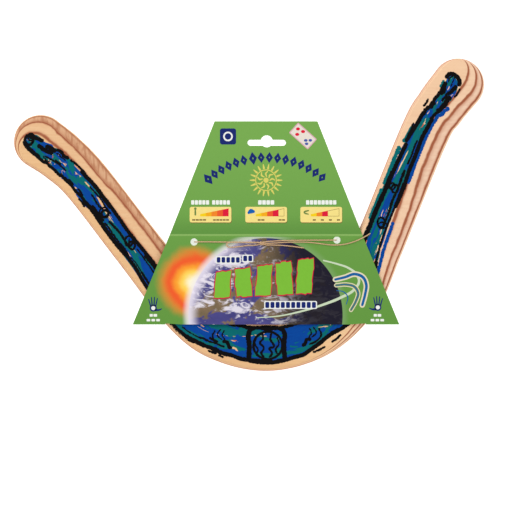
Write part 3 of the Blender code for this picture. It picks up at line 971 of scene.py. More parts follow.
def contour(height, extra=0.0):
    """The blade's edge at a height above its underside, drawn in by extra."""
    outer, inner = [], []
    last = len(SPINE) - 1
    for k in range(last * STEPS_PER_SPAN + 1):
        t = k / STEPS_PER_SPAN
        centre, along, half = spine_at(t)
        normal = Vector((-along.y, along.x))
        inner_share = 1 - smooth((t - INNER_BEVEL_ENDS[0]) / (INNER_BEVEL_ENDS[1] - INNER_BEVEL_ENDS[0]))
        outer_share = smooth((t - OUTER_BEVEL_STARTS[0]) / (OUTER_BEVEL_STARTS[1] - OUTER_BEVEL_STARTS[0]))
        outer.append(centre - normal * (half - edge_inset(outer_share, height, t) - extra))
        inner.append(centre + normal * (half - edge_inset(inner_share, height, t) - extra))
    lead = leading_inset(height) + extra
    right_trail = trailing_inset(height, last) + extra
    left_trail = trailing_inset(height, 0) + extra
    right = tip_points(last, 1, right_trail, lead, RIGHT_TIP_WRAP, height)
    left = tip_points(0, -1, left_trail, lead, LEFT_TIP_WRAP, height)
    return outer, right, inner[::-1], left


def close_face(bm, groups, upward):
    outer, right, inner, left = groups
    back = inner[::-1]
    faces = [corners for corners in zip(outer, outer[1:], back[1:], back)]
    faces.append((outer[-1], *right, inner[0]))
    faces.append((inner[-1], *left, outer[0]))
    for corners in faces:
        bm.faces.new(corners if upward else corners[::-1])


def carved_ply(name, index, finish):
    """One veneer, lofted ring by ring, because its edge follows the carved bevel."""
    heights = [BLADE_LOW, *GLUE_HEIGHTS, BLADE_HIGH]
    low, high = heights[index] - BLADE_LOW, heights[index + 1] - BLADE_LOW
    levels = [(low + (high - low) * i / PLY_RINGS, 0.0) for i in range(PLY_RINGS + 1)]
    if index == 0:
        levels = [(0.0, 0.0), (0.00013, 0.0), (0.00027, 0.0), (UNDER_SOFTENING, 0.0), (high, 0.0)]
    if index == 1:
        levels = [(low, 0.0), (TRAILING_EDGE, 0.0), ((TRAILING_EDGE + high) / 2, 0.0), (high, 0.0)]
    if index == len(VENEERS) - 1:
        levels.append((high, CREST_SOFTENING))
    bm = bmesh.new()
    rings = []
    for height, extra in levels:
        z = BLADE_LOW + height
        groups = contour(height, extra)
        rings.append([[bm.verts.new((p.x, p.y, z)) for p in group] for group in groups])
    loops = [[v for group in ring for v in group] for ring in rings]
    for lower, upper in zip(loops, loops[1:]):
        for i in range(len(lower)):
            j = (i + 1) % len(lower)
            bm.faces.new((lower[i], lower[j], upper[j], upper[i]))
    close_face(bm, rings[0], upward=False)
    close_face(bm, rings[-1], upward=True)
    bmesh.ops.recalc_face_normals(bm, faces=bm.faces[:])
    piece = piece_from(name, bm, finish)
    shade(piece, 35)
    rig.ride(piece, "blade")
    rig.replaces(piece, VENEERS[index])
    return piece


def heartwood(finish):
    """Darkens the core on the left arm, where it was cut from heartwood, in slanting bars."""
    across, _, _ = finish.axis()
    bars = finish.noise(finish.placed(turn=0.55, scale=(1, 0.16, 1)), 300.0, 3.0, 0.6, 0.4)
    clumps = finish.noise(finish.placed((0.6, 0.1, 0)), 90.0, 2.0)
    bars = finish.plus(bars, finish.times(finish.less(clumps, 0.5), 0.5))
    on_left = finish.step(across, -0.02, -0.09)
    share = finish.times(finish.step(bars, 0.40, 0.62), on_left)
    before = finish.shader.inputs["Base Color"].links[0].from_socket
    toned = finish.mix(finish.times(on_left, 0.6), before, tint(212, 160, 122))
    finish.colour(finish.mix(finish.times(share, 0.72), toned, tint(178, 114, 80)))


def blade():
    g = GLUE_HEIGHTS
    light, warm = tint(244, 203, 153), tint(236, 190, 140)
    cross = (tint(244, 206, 162), tint(236, 190, 146), 1.3, 420.0, 0.22)
    face_low = veneer("veneer_face_low", light, warm, 0.0, 420.0, 0.2, [(g[0], 0.0002)])
    cross_low = veneer("veneer_cross_low", *cross, [(g[0], 0.0002), (g[1], 0.0002)])
    core = veneer("veneer_core", tint(240, 204, 168), tint(228, 182, 144), 0.95, 360.0, 0.2,
                  [(g[1], 0.0004), (g[2], 0.0006)])
    heartwood(core)
    cross_high = veneer("veneer_cross_high", *cross, [(g[2], 0.0003), (g[3], 0.0004)])
    face_high = veneer("veneer_face_high", light, warm, 0.0, 420.0, 0.2, [(g[3], 0.00012)])
    plies = []
    for index, (name, finish, slot) in enumerate((
        ("ply_face_low", face_low, "face_veneer"),
        ("ply_cross_low", cross_low, "cross_veneer"),
        ("ply_core", core, "core_veneer"),
        ("ply_cross_high", cross_high, "cross_veneer"),
        ("ply_face_high", face_high, "face_veneer"),
    )):
        piece = carved_ply(name, index, finish.material)
        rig.slot(piece, slot)
        plies.append(piece)
    return plies


# Brush work on the blade

BRUSH_STEP = 0.0006
FILL_START, FILL_END, FILL_STEP = -0.58, 12.2, 0.02     # in spans along the blade
FILL_ROW = 0.00063         # how far one such step goes along the blade
FILL_WIDTH = 0.016         # how wide the fill is taken to be when it's mapped
MEDALLION_SPANS = (5.15, 7.05)
DASHES = 46


class Blank:
    """The blade's finished surface, for laying paint on."""

    def __init__(self, plies):
        points, faces = [], []
        for ply in plies:
            first = len(points)
            points += [v.co.copy() for v in ply.data.vertices]
            faces += [[first + i for i in p.vertices] for p in ply.data.polygons]
        self.tree = BVHTree.FromPolygons(points, faces)

    def lay(self, place, lift):
        hit = self.tree.ray_cast(Vector((place.x, place.y, 0.05)), Vector((0, 0, -1)))[0]
        z = hit.z if hit else BLADE_HIGH
        return Vector((place.x, place.y, z + lift))


def on_blade(t, across):
    """A place on the blade: spans along it, and millimetres in from its centreline."""
    centre, along, _ = spine_at(t)
    return centre + Vector((-along.y, along.x)) * across * MM


def strip(bm, blank, rows, columns, lift, step=0.0):
    """A band of paint between two edges, given as pairs of places, laid on the blade.

    A step maps it: rows lie that far apart in U, and V runs across.
    """
    grid = []
    for left, right in rows:
        across = [left.lerp(right, i / columns) for i in range(columns + 1)]
        grid.append([bm.verts.new(blank.lay(place, lift)) for place in across])
    drawn = bm.loops.layers.uv.new("drawn") if step else None
    for r, (low, high) in enumerate(zip(grid, grid[1:])):
        for i in range(columns):
            face = bm.faces.new((low[i], low[i + 1], high[i + 1], high[i]))
            if step:
                wide = FILL_WIDTH / columns
                places = ((r, i), (r, i + 1), (r + 1, i + 1), (r + 1, i))
                for loop, (row, column) in zip(face.loops, places):
                    loop[drawn].uv = (row * step, column * wide)


def ragged(run, seed, sign):
    """How far a stroke's edge strays, some millimetres along it, as a share of its roughness."""
    broad = noise.noise(Vector((run * 0.8, seed, sign)))
    return broad + 0.5 * noise.noise(Vector((run * 2.3, seed, sign + 5)))


def brush_mark(bm, blank, route, width, lift, rough=0.5):
    """One stroke of a loaded brush through places in metres; the other sizes are in millimetres."""
    path = smooth_path(route, BRUSH_STEP)
    seed = random.random() * 50
    lift += MARK_LIFT * random.random()
    rows = []
    run = 0.0
    total = sum((b - a).length for a, b in zip(path, path[1:]))
    for i, place in enumerate(path):
        way = path[min(i + 1, len(path) - 1)] - path[max(i - 1, 0)]
        side = Vector((-way.y, way.x)).normalized()
        if i:
            run += (place - path[i - 1]).length
        from_end = min(run, total - run) / (width * MM / 2)
        round_off = math.sqrt(max(0.04, 1 - max(0.0, 1 - from_end) ** 2))
        edges = []
        for sign in (-1, 1):
            reach = (width / 2 + rough * ragged(run / MM, seed, sign)) * round_off
            edges.append(place + side * sign * max(reach, THINNEST_BRUSH) * MM)
        rows.append(edges)
    strip(bm, blank, rows, max(2, round(width / BRUSH_COLUMN)), lift * MM)


def finish_paint(name, bm, finish, thickness):
    """Turns strips of paint into a piece on the blade, this many millimetres thick."""
    bmesh.ops.recalc_face_normals(bm, faces=bm.faces[:])
    up = sum(f.normal.z for f in bm.faces)
    if up < 0:
        bmesh.ops.reverse_faces(bm, faces=bm.faces[:])
    piece = piece_from(name, bm, finish)
    give_thickness(piece, thickness * MM, 1)
    shade(piece, 40)
    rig.ride(piece, "blade")
    return piece


# The two long outlines: spans along the blade, and millimetres in from its centreline
OUTER_LINE = (
    (-0.62, -7.5), (-0.3, -10.5), (0.4, -12.0), (1.4, -12.2), (2.2, -12.0), (3.0, -12.4), (3.6, -14.5),
    (4.05, -16.8), (4.4, -14.6), (4.7, -12.8), (5.5, -13.0), (6.0, -13.6), (6.4, -13.0), (6.75, -10.0),
    (7.1, -7.8), (7.5, -10.2), (8.6, -4.0), (9.2, -0.6), (10.0, 0.6), (10.5, 0.0), (10.9, -1.6), (11.1, -2.8),
    (11.65, -2.6), (12.0, 0.4), (12.2, 4.5),
)
INNER_LINE = (
    (-0.62, -2.0), (-0.2, 1.4), (0.5, 3.0), (1.2, 2.6), (2.0, 2.8), (3.0, 2.0), (3.8, 3.6), (4.7, 12.0),
    (5.6, 14.0), (7.0, 13.4), (8.0, 12.8), (9.0, 13.2), (9.75, 12.6), (9.97, 9.8), (10.3, 8.1),
    (11.0, 7.2), (11.35, 7.6), (11.65, 9.0), (12.0, 10.8), (12.2, 8.5),
)


# The strokes that draw them: start and end in spans, width and inward shift in millimetres
OUTER_STROKES = (
    (-0.55, 0.35, 3.4, 0.4), (0.2, 1.5, 2.6, 0.0), (1.35, 2.3, 2.4, 0.5), (2.2, 3.05, 3.6, 0.6),
    (2.9, 3.7, 3.0, 0.8), (3.55, 4.9, 3.4, 0.4), (4.7, 6.1, 3.2, 0.0), (6.0, 7.3, 3.2, 0.2),
    (7.2, 8.8, 3.0, 0.0), (8.7, 9.55, 1.8, 0.6), (9.35, 10.4, 3.3, -0.3), (10.3, 11.0, 2.6, 0.3),
    (10.95, 11.5, 3.8, 0.8),
)
INNER_STROKES = (
    (-0.5, 0.1, 3.4, -0.6), (0.25, 0.75, 3.6, -2.6), (0.7, 1.25, 2.8, 0.2), (1.3, 1.9, 1.7, 0.6),
    (1.75, 2.5, 3.4, 0.0), (2.35, 3.3, 3.0, 0.2), (3.15, 4.3, 4.0, -0.3), (4.2, 5.5, 3.0, 0.0),
    (5.4, 6.6, 2.6, 0.0), (6.5, 8.2, 3.0, 0.0), (8.1, 9.1, 4.0, 0.0), (8.95, 9.6, 3.8, -0.2),
    (9.45, 9.85, 3.4, -0.6), (9.85, 10.35, 3.2, 0.4), (10.25, 10.7, 3.4, 0.3),
    (10.65, 11.05, 3.6, -0.2), (11.0, 11.4, 2.8, 0.5), (11.35, 11.8, 3.6, -0.4),
)
# Slivers of colour along them: start and end in spans, place across and width in millimetres
BLUE_SLIVERS = ((10.62, 11.15, -3.0, 3.4), (9.55, 10.7, -2.9, 3.2), (8.3, 9.25, -3.4, 2.8))
TEAL_SLIVERS = (
    (9.2, 9.45, 3.0, 3.0), (9.48, 9.8, 2.8, 4.0), (9.84, 10.06, 2.2, 3.0), (11.5, 11.8, 1.8, 2.4),
)


def spill(t, rest, seed):
    """How far the fill runs past an outline, in millimetres."""
    slow = noise.noise(Vector((t * 2.1, seed, 0)))
    quick = noise.noise(Vector((t * 6, seed, 0)))
    return rest + 2.4 * slow + 0.8 * quick


def paint_fill(blank):
    """Blue and teal between the outlines, here and there past them."""
    bm = bmesh.new()
    rows = []
    for k in range(round((FILL_END - FILL_START) / FILL_STEP) + 1):
        t = FILL_START + k * FILL_STEP
        spill_out = spill(t, 0.9, 3.0)
        spill_in = spill(t, 0.2, 8.0)
        if 9 < t < 10.1:
            spill_in += 2.0
        ends = min(1.0, (t - FILL_START) / 0.25, (FILL_END - t) / 0.16)
        middle = (keyed(OUTER_LINE, t) + keyed(INNER_LINE, t)) / 2
        outer = keyed(OUTER_LINE, t) - max(spill_out, -1.2)
        inner = keyed(INNER_LINE, t) + max(spill_in, -1.2)
        share = math.sqrt(max(ends, 0.02))
        rows.append([on_blade(t, middle + (edge - middle) * share) for edge in (outer, inner)])
    strip(bm, blank, rows, 24, FILL_LIFT * MM, FILL_ROW)
    finish_paint("paint_fill", bm, painted_wood(), THIN_PAINT)


def outline_marks():
    """The long outlines as separate strokes, and short dashes between them: (route, width)."""
    strokes = [(OUTER_LINE, *row) for row in OUTER_STROKES] + [(INNER_LINE, *row) for row in INNER_STROKES]
    for line, start, end, width, shift in strokes:
        count = max(3, round((end - start) / 0.16))
        route = []
        for k in range(count + 1):
            t = start + (end - start) * k / count
            stray = 1.2 * noise.noise(Vector((t * 5.1, shift * 7, 2.0)))
            route.append(on_blade(t, keyed(line, t) + shift + stray))
        yield route, width * (1.12 if 4.0 <= start <= 7.3 else 1.06)
    for _ in range(DASHES):
        t = random.uniform(-0.35, 11.9)
        long = random.uniform(0.14, 0.5)
        share = random.choice((0.16, 0.24, 0.5, 0.76, 0.84)) + random.uniform(-0.06, 0.06)
        width = random.uniform(0.9, 2.3)
        if MEDALLION_SPANS[0] - long < t < MEDALLION_SPANS[1]:
            continue
        route = []
        for k in range(5):
            here = t + long * k / 4
            low, high = keyed(OUTER_LINE, here), keyed(INNER_LINE, here)
            stray = 1.4 * noise.noise(Vector((here * 7, share * 9, 5.0)))
            route.append(on_blade(here, low + (high - low) * share + stray))
        yield route, width


def flat(points):
    """Places in metres from places in millimetres."""
    return [Vector((x * MM, y * MM)) for x, y in points]


def loop_route(x, y, wide, tall, turns, start):
    """A brush's way round an oval, in millimetres, from a starting angle."""
    steps = round(14 * turns)
    points = []
    for i in range(steps + 1):
        a = start + 2 * math.pi * turns * i / steps
        points.append((x + wide * math.cos(a), y + tall * math.sin(a)))
    return flat(points)


# One sprig's strokes: the width of each, then its places from the sprig's own middle
SPRIG = (
    (1.5, (-9, 7), (-11, 1), (-7, -4), (-1, -7)),
    (1.2, (-4, 8), (-7, 3), (-3, -1)),
    (1.2, (-1, 7), (-3, 3), (-0.5, -1)),
    (3.0, (-3, -2), (1, -3), (3, -7), (5, -8)),
)


def small_marks():
    """Loops, sprigs and dashes inside and beside the outlines: (route, width)."""
    loops = (
        (-183.0, 62.0, 3.4, 4.0, 2.4), (-181.4, 64.5, 2.6, 3.0, 1.6), (-119.9, 0.6, 2.8, 3.0, 2.0),
        (-120.8, 2.2, 3.6, 3.8, 1.4), (-100.0, -22.0, 3.2, 4.2, 1.8), (-97.6, -25.6, 2.6, 3.2, 1.8),
        (120.8, 21.5, 2.8, 3.4, 1.8), (118.6, 23.6, 2.4, 2.6, 1.6), (109.4, -6.4, 3.0, 4.0, 1.8),
        (110.6, -8.8, 3.6, 2.6, 1.4),
    )
    for x, y, wide, tall, width in loops:
        yield loop_route(x, y, wide, tall, 1.1, x), width
    for x, y, way in ((-19.6, -103.0, 1), (48.5, -101.0, -1)):
        for width, *places in SPRIG:
            yield flat([(x + dx * way, y + dy) for dx, dy in places]), width
    for x, y in ((-104.0, -23.0), (-101.0, -24.5), (-98.5, -26.5)):
        yield flat([(x, y), (x + 1.0, y + 2.6), (x + 1.2, y + 5.0)]), 1.1
    for width, *places in (
        (3.6, (-130.5, 5.5), (-128.0, 2.0), (-126.5, -2.0)),
        (1.7, (-142.0, 13.6), (-138.6, 9.6), (-136.8, 6.0)),
        (1.5, (-140.2, 14.8), (-136.9, 11.4), (-134.6, 7.4)),
        (3.6, (-176.0, 58.0), (-170.0, 53.6), (-163.0, 50.4)),
        (1.5, (-170.0, 48.8), (-160.0, 43.0), (-152.0, 36.4)),
        (3.0, (-108.5, -23.5), (-104.0, -29.0), (-101.0, -34.5)),
        (3.6, (162.6, 113.3), (167.3, 117.0), (171.6, 115.2), (174.6, 110.7), (174.0, 106.4)),
        (3.6, (172.1, 107.4), (168.6, 103.0), (164.2, 99.7)),
        (1.7, (175.0, 105.0), (173.0, 100.6), (170.0, 97.2)),
    ):
        yield flat(places), width
    dashes = (
        ((-53.5, -102.6), (-45.5, -106.6), 1.8), ((-34.6, -112.6), (-27.0, -115.5), 1.9),
        ((-26.0, -116.6), (-21.2, -118.4), 1.7), ((52.6, -114.4), (63.2, -109.4), 1.8),
        ((68.1, -106.0), (76.2, -99.3), 1.9), ((131.1, 64.9), (136.4, 76.5), 1.7),
        ((144.3, 89.8), (148.6, 96.4), 1.9),
    )
    for a, b, width in dashes:
        middle = ((a[0] + b[0]) / 2 + 0.4, (a[1] + b[1]) / 2 - 0.3)
        yield flat([a, middle, b]), width


MEDALLION = Vector((14.4, -108.2))
MEDALLION_HALF = (15.0, 14.0)


def medallion_marks():
    """The framed disc at the elbow: a rounded frame, a thin circle and plain wave strokes in it."""
    x, y = MEDALLION
    wide, tall = MEDALLION_HALF
    corner = 4.5
    yield flat([(x - wide, y - tall + 1), (x - wide + 0.5, y), (x - wide, y + tall - corner),
                (x - wide + 1.5, y + tall - 1.2), (x - wide + corner + 1, y + tall)]), 4.2
    yield flat([(x + wide, y - tall + 1), (x + wide - 0.6, y), (x + wide - 0.4, y + tall - corner),
                (x + wide - 2, y + tall - 1.2), (x + wide - corner - 1, y + tall)]), 4.0
    yield flat([(x - wide + corner, y + tall), (x, y + tall + 0.6), (x + wide - corner, y + tall)]), 3.2
    yield flat([(x - wide - 0.6, y - tall + 1), (x - 6, y - tall - 0.4), (x + 6, y - tall - 0.4),
                (x + wide + 0.6, y - tall + 1.4)]), 3.4
    yield loop_route(x + 0.9, y - 0.4, 12.0, 11.4, 1.04, 2.0), 2.0
    yield loop_route(x + 0.2, y - 0.2, 11.4, 11.2, 0.4, 1.9), 1.3
    for way, lean in ((-1, 1.0), (1, -1.0)):
        yield flat([(x + 4 * way, y + 10.4), (x + 3.0 * way, y + 5), (x + 5.6 * way, y + 2 * lean),
                    (x + 2.4 * way, y - 2.4), (x + 4.4 * way, y - 7.0), (x + 2.0 * way, y - 10.6)]), 1.8
        yield flat([(x + 8.6 * way, y + 6.4), (x + 10.0 * way, y + 1), (x + 7.4 * way, y - 4),
                    (x + 8.8 * way, y - 7.6)]), 1.5


def brush_work(blank):
    """All the paint, from the fill up; each lift is in millimetres."""
    paint_fill(blank)
    dark = brush_colour("black_brush_line", tint(3, 3, 5), tint(16, 14, 16))
    for name, marks, lift in (
        ("paint_outline", outline_marks, 0.045),
        ("paint_small_marks", small_marks, 0.060),
        ("paint_medallion", medallion_marks, 0.075),
    ):
        bm = bmesh.new()
        for route, width in marks():
            brush_mark(bm, blank, route, width, lift)
        finish_paint(name, bm, dark, THICK_PAINT)
    for name, line, runs, paint in (
        ("paint_blue_slivers", OUTER_LINE, BLUE_SLIVERS, brush_colour("blue_brush", *BLUE_PAINT)),
        ("paint_teal_slivers", INNER_LINE, TEAL_SLIVERS, brush_colour("teal_brush", *TEAL_PAINT)),
    ):
        bm = bmesh.new()
        for start, end, across, width in runs:
            steps = max(3, round((end - start) / 0.1))
            route = []
            for k in range(steps + 1):
                t = start + (end - start) * k / steps
                stray = 0.7 * noise.noise(Vector((t * 6, 0, 4)))
                route.append(on_blade(t, keyed(line, t) + across + stray))
            brush_mark(bm, blank, route, width, SLIVER_LIFT, 0.6)
        finish_paint(name, bm, paint, THIN_PAINT)


# The folded card

def half_width(y):
    """Half the card's width at a place up the card."""
    if y >= CREASE_Y:
        return CREASE_HALF + (TOP_HALF - CREASE_HALF) * (y - CREASE_Y) / (TOP_Y - CREASE_Y)
    return CREASE_HALF + (BOTTOM_HALF - CREASE_HALF) * (CREASE_Y - y) / (CREASE_Y - BOTTOM_Y)


def ridge(x, y):
    """How far the back leaf is lifted by the twine that runs behind it."""
    across = abs(y - RIDGE_Y)
    over = 1 - smooth((across - RIDGE_FLAT) / (RIDGE_FOOT - RIDGE_FLAT))
    beyond = max(LEFT_HOLE.x - x, x - RIGHT_HOLE.x) - LACE_HOLE / 2
    return RIDGE_RISE * over * (1 - smooth(beyond / (RIDGE_RUN_OUT - LACE_HOLE / 2)))


def between(low, high, count):
    return [low + (high - low) * i / count for i in range(count + 1)]


def cutting_block(name, finishes, corner_steps, place, half_long, half_high):
    """A round-ended punch that cuts right through the card; its walls show the raw board."""
    bpy.ops.mesh.primitive_cube_add(size=2, location=place)
    block = bpy.context.object
    block.name = name
    block.scale = (half_long, half_high, PUNCH_HALF_DEPTH)
    bpy.ops.object.transform_apply(location=False, rotation=False, scale=True)
    bpy.ops.object.mode_set(mode="EDIT")
    bpy.ops.mesh.select_all(action="DESELECT")
    bpy.ops.object.mode_set(mode="OBJECT")
    for edge in block.data.edges:
        a, b = (block.data.vertices[i].co for i in edge.vertices)
        edge.select = abs(a.z - b.z) > PUNCH_HALF_DEPTH
    bpy.ops.object.mode_set(mode="EDIT")
    bpy.ops.mesh.select_mode(type="EDGE")
    bpy.ops.mesh.bevel(offset=half_high * PUNCH_CORNER, segments=corner_steps, offset_type="OFFSET")
    bpy.ops.object.mode_set(mode="OBJECT")
    for finish in finishes:
        block.data.materials.append(finish)
    for face in block.data.polygons:
        face.material_index = len(finishes) - 1
    return block


def punch(piece, blocks):
    """Cuts the blocks out of the piece, one after the other."""
    for block in blocks:
        cut = piece.modifiers.new("punch", "BOOLEAN")
        cut.operation = "DIFFERENCE"
        cut.solver = "EXACT"
        cut.object = block
        select_only(piece)
        bpy.ops.object.modifier_apply(modifier="punch")


def sleeve(finishes):
    """The front leaf, the bottom fold and the back leaf as one bent board."""
    rows = [(y, FRONT_TOP) for y in between(SEAM_Y, BOTTOM_Y + FOLD_RADIUS, FRONT_ROWS)]
    turn = [(BOTTOM_Y + FOLD_RADIUS * (1 - math.sin(a)), FRONT_TOP - FOLD_RADIUS * (1 - math.cos(a)))
            for a in QUARTER_TURN[1:]]
    back_turn = [(y, FRONT_TOP - z) for y, z in turn[::-1]]
    back = [BOTTOM_Y + FOLD_RADIUS] + between(BOTTOM_Y + 0.015, RIDGE_Y - RIDGE_FOOT, 3)
    back += between(RIDGE_Y - RIDGE_FOOT, RIDGE_Y - RIDGE_FLAT, 6)[1:]
    back += between(RIDGE_Y + RIDGE_FLAT, RIDGE_Y + RIDGE_FOOT, 6)
    back += between(RIDGE_Y + RIDGE_FOOT, TOP_Y, 6)[1:]
    rows += turn + back_turn + [(y, 0.0) for y in back]
    slot_start = FRONT_ROWS
    slot_end = slot_start + len(turn) + len(back_turn) + 1
    slot_columns = range(SIDE_COLUMNS, SIDE_COLUMNS + SLOT_COLUMNS)
    bm = bmesh.new()
    grid = []
    for r, (y, z) in enumerate(rows):
        half = half_width(max(y, BOTTOM_Y))
        narrow = min(1.0, half / half_width(BOTTOM_Y + FOLD_RADIUS))
        slot_left = CARD_X + (SLOT_LEFT - CARD_X) * narrow
        slot_right = CARD_X + (SLOT_RIGHT - CARD_X) * narrow
        xs = between(CARD_X - half, slot_left, SIDE_COLUMNS)
        xs += between(slot_left, slot_right, SLOT_COLUMNS)[1:-1]
        xs += between(slot_right, CARD_X + half, SIDE_COLUMNS)
        line = []
        for c, x in enumerate(xs):
            cut_back = r in (slot_start, slot_end) and c in slot_columns[1:]
            row_y = BOTTOM_Y if cut_back else y
            lift = ridge(x, y) if r > slot_end else 0.0
            line.append(bm.verts.new((x, row_y, z + lift)))
        grid.append(line)
    for r, (upper, lower) in enumerate(zip(grid, grid[1:])):
        for c in range(len(upper) - 1):
            in_slot = slot_start <= r < slot_end and c in slot_columns
            if not in_slot:
                bm.faces.new((upper[c], lower[c], lower[c + 1], upper[c + 1]))
    loose = [v for v in bm.verts if not v.link_faces]
    bmesh.ops.delete(bm, geom=loose, context="VERTS")
    piece = piece_from("card_sleeve", bm, *finishes)
    for face in piece.data.polygons:
        if face.center.z < FRONT_TOP - BOARD:
            face.material_index = 1
    give_thickness(piece, BOARD, -1)
    raw = len(finishes) - 1
    for face in piece.data.polygons:
        if is_inside_or_edge(face):
            face.material_index = raw
    return piece


def is_inside_or_edge(face):
    """Whether a face of the sleeve belongs to the board's unprinted side or its cut edge."""
    middle, normal = face.center, face.normal
    if middle.y < BOTTOM_Y + 0.8 * FOLD_RADIUS and middle.z < FRONT_TOP - 0.2 * FOLD_RADIUS:
        if normal.y < -0.3:
            return False
    if middle.z > FRONT_TOP / 2:
        return normal.z < 0.5
    return normal.z > -0.5


def header(finishes):
    """The panel above the crease, with the strip that bends over it."""
    length = (TOP_Y - CREASE_Y) / math.cos(HEADER_SLOPE)
    runs = [SEAM_Y - CREASE_Y] + between(-CREASE_BEND, CREASE_BEND, 10)
    runs += between(2 * CREASE_BEND, length, 12)
    bm = bmesh.new()
    grid = []
    for run in runs:
        y = CREASE_Y + (run if run < 0 else run * math.cos(HEADER_SLOPE))
        z = FRONT_TOP - (0 if run < 0 else run * math.sin(HEADER_SLOPE))
        z += CREASE_BEAD * max(0.0, 1 - abs(run) / (0.6 * CREASE_BEND))
        half = half_width(y)
        grid.append([bm.verts.new((x, y, z)) for x in between(CARD_X - half, CARD_X + half, 16)])
    for lower, upper in zip(grid, grid[1:]):
        for c in range(len(lower) - 1):
            bm.faces.new((lower[c], lower[c + 1], upper[c + 1], upper[c]))
    piece = piece_from("card_header", bm, *finishes)
    give_thickness(piece, BOARD, -1)
    for face in piece.data.polygons:
        if face.normal.z < 0.5:
            face.material_index = len(finishes) - 1
    return piece


def card():
    """The sleeve, and the header that hinges on it along the crease, both punched and printed green."""
    green, picture, raw = plain_print(), picture_print(), raw_board()
    body = sleeve((picture, green, raw))
    flap = header((green, raw))
    holes = [cutting_block("hole_punch", (picture, green, raw), 8, hole, LACE_HOLE / 2, LACE_HOLE / 2)
             for hole in (LEFT_HOLE, RIGHT_HOLE)]
    slot_cuts = []
    for finishes in ((picture, green, raw), (green, raw)):
        bar = cutting_block("slot_punch", finishes, 6, HANG_SLOT, HANG_SLOT_LENGTH / 2, HANG_SLOT_HEIGHT / 2)
        dome_place = HANG_SLOT + Vector((0, HANG_DOME_UP, 0))
        dome = cutting_block("dome_punch", finishes, 8, dome_place, HANG_DOME_RADIUS, HANG_DOME_RADIUS)
        slot_cuts.append((bar, dome))
    punch(body, holes + list(slot_cuts[0]))
    punch(flap, slot_cuts[1])
    for block in holes + [b for pair in slot_cuts for b in pair]:
        bpy.data.objects.remove(block)
    for piece in (body, flap):
        shade(piece, 30)
        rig.slot(piece, "printed_board")
    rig.ride(body, "card")
    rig.replaces(body, "front_panel", "back_panel", "base_web_left", "base_web_right")
    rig.replaces(flap, "header_panel")
    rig.blend(flap, "card", "header", start=(CARD_X, CREASE_Y - CREASE_BEND, FRONT_TOP),
             end=(CARD_X, CREASE_Y + CREASE_BEND, FRONT_TOP))


# Printed shapes, in millimetres on the laid-flat card

def plate_outline(x, y, wide, tall, corner=0.0, turn=0.0):
    """A rectangle round a centre, with rounded corners."""
    points = []
    corner = max(corner, 0.01)
    for sx, sy, start in ((1, 1, 0), (-1, 1, 90), (-1, -1, 180), (1, -1, 270)):
        for k in range(5):
            a = math.radians(start + 22.5 * k)
            points.append(Vector((sx * (wide / 2 - corner) + corner * math.cos(a),
                                  sy * (tall / 2 - corner) + corner * math.sin(a))))
    spin = Matrix.Rotation(turn, 2)
    return [spin @ p + Vector((x, y)) for p in points]


def disc(x, y, radius, steps=32, tall=None):
    turns = [2 * math.pi * i / steps for i in range(steps)]
    return [Vector((x + radius * math.cos(a), y + (tall or radius) * math.sin(a))) for a in turns]


def round_end(middle, edge):
    arm = edge - middle
    return [middle + Matrix.Rotation(-math.pi * k / 6, 2) @ arm for k in range(1, 6)]


def band(points, widths):
    """A stroke with round ends through points, whose width eases from the first to the last."""
    path = smooth_path([Vector(p) for p in points], BAND_STEP)
    left, right = [], []
    last = len(path) - 1
    for i, place in enumerate(path):
        way = path[min(i + 1, last)] - path[max(i - 1, 0)]
        side = Vector((-way.y, way.x)).normalized()
        share = i / last * (len(widths) - 1)
        k = min(int(share), len(widths) - 2)
        half = (widths[k] + (widths[k + 1] - widths[k]) * (share - k)) / 2
        left.append(place + side * half)
        right.append(place - side * half)
    return left + round_end(path[-1], left[-1]) + right[::-1] + round_end(path[0], right[0])


def printed(name, groups, finish, body="card", layer=1):
    """Ink shapes on the card, each group an outline and the holes in it."""
    parts = []
    for outlines in groups:
        curve = bpy.data.curves.new(name, "CURVE")
        curve.dimensions = "2D"
        curve.fill_mode = "BOTH"
        curve.extrude = INK / 2
        for outline in outlines:
            spline = curve.splines.new("POLY")
            spline.points.add(len(outline) - 1)
            for point, place in zip(spline.points, outline):
                point.co = (place.x, place.y, 0, 1)
            spline.use_cyclic_u = True
        part = bpy.data.objects.new(name, curve)
        bpy.context.scene.collection.objects.link(part)
        parts.append(part)
    select_only(*parts)
    bpy.ops.object.convert(target="MESH")
    bpy.ops.object.join()
    piece = bpy.context.object
    piece.name = name
    bpy.ops.object.mode_set(mode="EDIT")
    bpy.ops.mesh.select_all(action="SELECT")
    bpy.ops.mesh.remove_doubles(threshold=INK / 10)
    bpy.ops.mesh.normals_make_consistent(inside=False)
    bpy.ops.object.mode_set(mode="OBJECT")
    piece.data.transform(Matrix.Translation((0, 0, INK * (layer - 0.45))))
    piece.data.transform(Matrix.Scale(MM, 4))
    if body == "header":
        fold = Matrix.Translation((0, CREASE_Y, FRONT_TOP)) @ Matrix.Rotation(-HEADER_SLOPE, 4, "X")
        piece.data.transform(fold @ Matrix.Translation((0, -CREASE_Y, 0)))
    else:
        piece.data.transform(Matrix.Translation((0, 0, FRONT_TOP)))
    piece.data.materials.clear()
    piece.data.materials.append(finish)
    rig.ride(piece, body)
    return piece


PANELS = (-32.3, 13.9, 59.6)     # middles of the three gauge panels
PANEL_WIDE, PANEL_TALL = 34.6, 13.0
PANEL_CORNER = 1.6
SHADES = ("yellow", "amber", "orange", "tangerine", "red")
WEDGE_START, WEDGE_RUN = -8.6, 23.6
WEDGE_BASE, WEDGE_LOW, WEDGE_RISE = -1.4, 1.8, 4.8
WEDGE_LINE = 0.3
WEDGE_OVERLAP = 0.02


